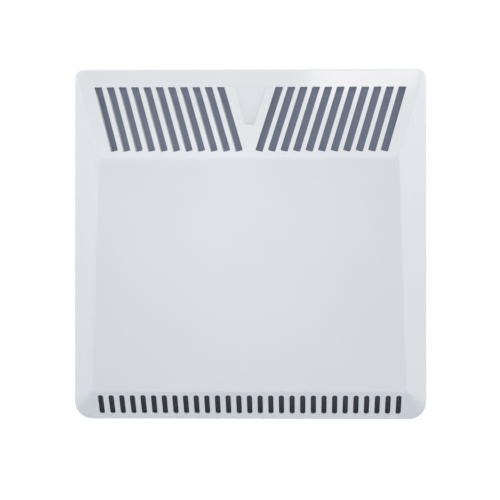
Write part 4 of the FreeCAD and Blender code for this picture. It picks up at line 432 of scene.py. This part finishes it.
def ink_text(words, height):
    """Printed words as a bmesh in the XY plane, centred on the origin and thick along Z."""
    curve = bpy.data.curves.new("ink", "FONT")
    curve.body = words
    curve.align_x = "CENTER"
    curve.align_y = "CENTER"
    curve.size = height
    curve.extrude = INK_T / 2
    holder = bpy.data.objects.new("ink", curve)
    bpy.context.scene.collection.objects.link(holder)
    bpy.context.view_layer.update()
    mesh = bpy.data.meshes.new_from_object(holder.evaluated_get(bpy.context.evaluated_depsgraph_get()))
    bpy.data.objects.remove(holder)
    bpy.data.curves.remove(curve)
    bm = bmesh.new()
    bm.from_mesh(mesh)
    bpy.data.meshes.remove(mesh)
    bmesh.ops.remove_doubles(bm, verts=bm.verts, dist=INK_MERGE)
    return bm


def facing_right(place, turn=0.0):
    """A matrix that stands a print on a face that looks to +X, turned counter-clockwise as seen from there."""
    stand = Matrix(((0, 0, 1), (1, 0, 0), (0, 1, 0))).to_4x4()
    return Matrix.Translation(place) @ Matrix.Rotation(turn, 4, "X") @ stand


def join_into(target, source):
    """Adds one bmesh to another."""
    mesh = bpy.data.meshes.new("join")
    source.to_mesh(mesh)
    source.free()
    target.from_mesh(mesh)
    bpy.data.meshes.remove(mesh)


def knob_figures(finish):
    """Figures round the knob's face. Each comes to the top as the knob is turned clockwise."""
    bm = bmesh.new()
    centre = (KNOB_FACE_X + INK_T / 2 - INK_SINK, CONTROL_Y, KNOB_Z)
    lift = Matrix.Translation((0, FIGURE_RING_R, 0))
    for figure in range(1, FIGURE_COUNT + 1):
        print_bm = ink_text(str(figure), FIGURE_HEIGHT)
        matrix = facing_right(centre, FIGURE_STEP * figure) @ lift
        bmesh.ops.transform(print_bm, matrix=matrix, verts=print_bm.verts)
        join_into(bm, print_bm)
    link_piece("knob_figures", bm, finish, "thermostat_knob")


def fascia_index(finish):
    """The fixed index above the knob: a small triangle that points down."""
    bm = bmesh.new()
    bmesh.ops.create_circle(bm, cap_ends=True, segments=3, radius=INDEX_R)
    top = bmesh.ops.extrude_face_region(bm, geom=bm.faces[:])
    moved = [item for item in top["geom"] if isinstance(item, bmesh.types.BMVert)]
    bmesh.ops.translate(bm, vec=(0, 0, INK_T), verts=moved)
    bmesh.ops.recalc_face_normals(bm, faces=bm.faces)
    place = (FASCIA_X - INK_SINK, CONTROL_Y, KNOB_Z + KNOB_SKIRT_R + INDEX_GAP)
    bmesh.ops.transform(bm, matrix=facing_right(place, math.pi), verts=bm.verts)
    link_piece("fascia_index", bm, finish, "heater")


def rocker_marks(name, finish):
    """On and off marks on the two slanting faces of a rocker."""
    bm = bmesh.new()
    slope = math.atan2(ROCKER_DIP, ROCKER_HALF)
    rise = ROCKER_CREST - ROCKER_DIP + ROCKER_DIP * MARK_REACH / ROCKER_HALF
    pivot = Matrix.Translation((ROCKER_X, CONTROL_Y, ROCKER_ZS[name]))
    tilt = Matrix.Rotation(-ROCKER_TILT, 4, "Y")
    for words, side in (("I", 1), ("O", -1)):
        print_bm = ink_text(words, MARK_HEIGHT)
        seat = Matrix.Translation((rise + INK_T / 2 - INK_SINK, 0, side * MARK_REACH))
        lean = Matrix.Rotation(side * slope, 4, "Y")
        matrix = pivot @ tilt @ seat @ lean @ facing_right((0, 0, 0))
        bmesh.ops.transform(print_bm, matrix=matrix, verts=print_bm.verts)
        join_into(bm, print_bm)
    link_piece(name + "_rocker_marks", bm, finish, name + "_rocker")


def aim_lamp(name, lamp, place, aim, mirrored):
    """Stands a lamp up to face a point. Glossy surfaces mirror it or see only the white surroundings."""
    holder = bpy.data.objects.new(name, lamp)
    holder.location = place
    holder.rotation_euler = (Vector(aim) - Vector(place)).to_track_quat("-Z", "Y").to_euler()
    holder.visible_glossy = mirrored
    bpy.context.scene.collection.objects.link(holder)


def softbox(name, place, width, height, watts, mirrored, tint):
    """A flat soft lamp that faces the heater's middle."""
    lamp = bpy.data.lights.new(name, "AREA")
    lamp.shape = "RECTANGLE"
    lamp.size = width
    lamp.size_y = height
    lamp.energy = watts
    lamp.color = tint
    aim_lamp(name, lamp, place, SOFTBOX_AIM, mirrored)


def face_spot():
    """A spot that lifts the middle of the hood's face and fades out evenly around it."""
    lamp = bpy.data.lights.new("face_spot", "SPOT")
    lamp.energy = SPOT_WATTS
    lamp.spot_size = SPOT_CONE
    lamp.spot_blend = SPOT_BLEND
    lamp.shadow_soft_size = SPOT_RADIUS
    aim_lamp("face_spot", lamp, SPOT_PLACE, SPOT_AIM, False)


def seen_directly(owner):
    """A socket that is 1 for camera, glossy and transmitted rays and 0 for rays that carry diffuse light."""
    path = add(owner, "ShaderNodeLightPath", {})
    shiny = add(owner, "ShaderNodeMath", {
        0: path.outputs["Is Glossy Ray"], 1: path.outputs["Is Transmission Ray"]}, operation="MAXIMUM")
    seen = add(owner, "ShaderNodeMath", {
        0: path.outputs["Is Camera Ray"], 1: shiny.outputs["Value"]}, operation="MAXIMUM")
    return seen.outputs["Value"]


def white_studio():
    """Surroundings that look white and light the heater at a plain level."""
    world = bpy.data.worlds.new("white_studio")
    bpy.context.scene.world = world
    world.use_nodes = True
    world.node_tree.nodes.clear()
    light = add(world, "ShaderNodeBackground", {"Color": SKY_COLOUR, "Strength": SKY_STRENGTH})
    backdrop = add(world, "ShaderNodeBackground", {"Color": WHITE, "Strength": 1.0})
    both = add(world, "ShaderNodeMixShader", {
        "Fac": seen_directly(world), 1: light.outputs["Background"], 2: backdrop.outputs["Background"]})
    add(world, "ShaderNodeOutputWorld", {"Surface": both.outputs["Shader"]})


def floor_paint():
    """Matt pale paint that looks white like the surroundings and keeps a soft shadow."""
    material, place = new_material("pale_floor")
    cloud = add(material, "ShaderNodeTexNoise", {
        "Vector": place, "Scale": 1 / FLOOR_CLOUD, "Detail": 2.0})
    tone = add(material, "ShaderNodeMixRGB", {
        "Fac": cloud.outputs["Fac"], "Color1": linear(FLOOR_TONES[0]), "Color2": linear(FLOOR_TONES[1])})
    matt = add(material, "ShaderNodeBsdfDiffuse", {"Color": tone.outputs["Color"]})
    glow = add(material, "ShaderNodeEmission", {"Color": WHITE, "Strength": FLOOR_GLOW})
    share = add(material, "ShaderNodeMath", {
        0: seen_directly(material), 1: FLOOR_GLOW_SHARE}, operation="MULTIPLY")
    both = add(material, "ShaderNodeMixShader", {
        "Fac": share.outputs["Value"], 1: matt.outputs["BSDF"], 2: glow.outputs["Emission"]})
    add(material, "ShaderNodeOutputMaterial", {"Surface": both.outputs["Shader"]})
    return material


def pale_floor():
    """A wide floor below the heater."""
    bm = bmesh.new()
    bmesh.ops.create_grid(bm, x_segments=1, y_segments=1, size=FLOOR_SIDE / 2)
    bmesh.ops.translate(bm, vec=(0, 0, FLOOR_Z), verts=bm.verts)
    mesh = bpy.data.meshes.new("pale_floor")
    bm.to_mesh(mesh)
    bm.free()
    mesh.materials.append(floor_paint())
    floor = bpy.data.objects.new("pale_floor", mesh)
    bpy.context.scene.collection.objects.link(floor)


def build_camera():
    """The photograph's viewpoint: a little below the heater's middle and to its right."""
    camera = bpy.data.cameras.new("camera")
    camera.sensor_width = SENSOR_MM
    camera.lens = FOCAL_PX / PICTURE_PX * SENSOR_MM
    camera.shift_x = (PICTURE_PX / 2 - MIDDLE_PX[0]) / PICTURE_PX
    camera.shift_y = (MIDDLE_PX[1] - PICTURE_PX / 2) / PICTURE_PX
    camera.clip_end = CAMERA_REACH
    holder = bpy.data.objects.new("camera", camera)
    holder.location = CAMERA_PLACE
    holder.rotation_euler = (Vector(CAMERA_AIM) - Vector(CAMERA_PLACE)).to_track_quat("-Z", "Y").to_euler()
    bpy.context.scene.collection.objects.link(holder)
    bpy.context.scene.camera = holder


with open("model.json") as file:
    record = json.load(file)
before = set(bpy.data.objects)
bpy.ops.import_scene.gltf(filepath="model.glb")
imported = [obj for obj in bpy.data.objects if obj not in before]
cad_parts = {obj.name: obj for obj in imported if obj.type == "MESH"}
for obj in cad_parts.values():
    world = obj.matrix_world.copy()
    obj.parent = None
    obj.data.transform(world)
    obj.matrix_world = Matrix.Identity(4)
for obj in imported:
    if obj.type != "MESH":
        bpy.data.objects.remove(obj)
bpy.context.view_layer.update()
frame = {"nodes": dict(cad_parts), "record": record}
bpy.context.scene.view_settings.view_transform = "Standard"
build_camera()
white_studio()
pale_floor()
for box_name, box in SOFTBOXES.items():
    softbox(box_name, *box)
face_spot()
finishes = make_finishes()
for subpart in frame["record"]["subparts"]:
    node_mesh = frame["nodes"][subpart["node"]].data
    node_mesh.materials.clear()
    node_mesh.materials.append(finishes.get(subpart["node"], finishes[subpart["material_slot"]]))
hood_skin(frame["nodes"]["front_panel"].data, finishes["white_powder_coat"])
knob_figures(finishes["black_polyamide"])
fascia_index(finishes["black_polyamide"])
for switch in ROCKER_ZS:
    rocker_marks(switch, finishes["black_polyamide"])
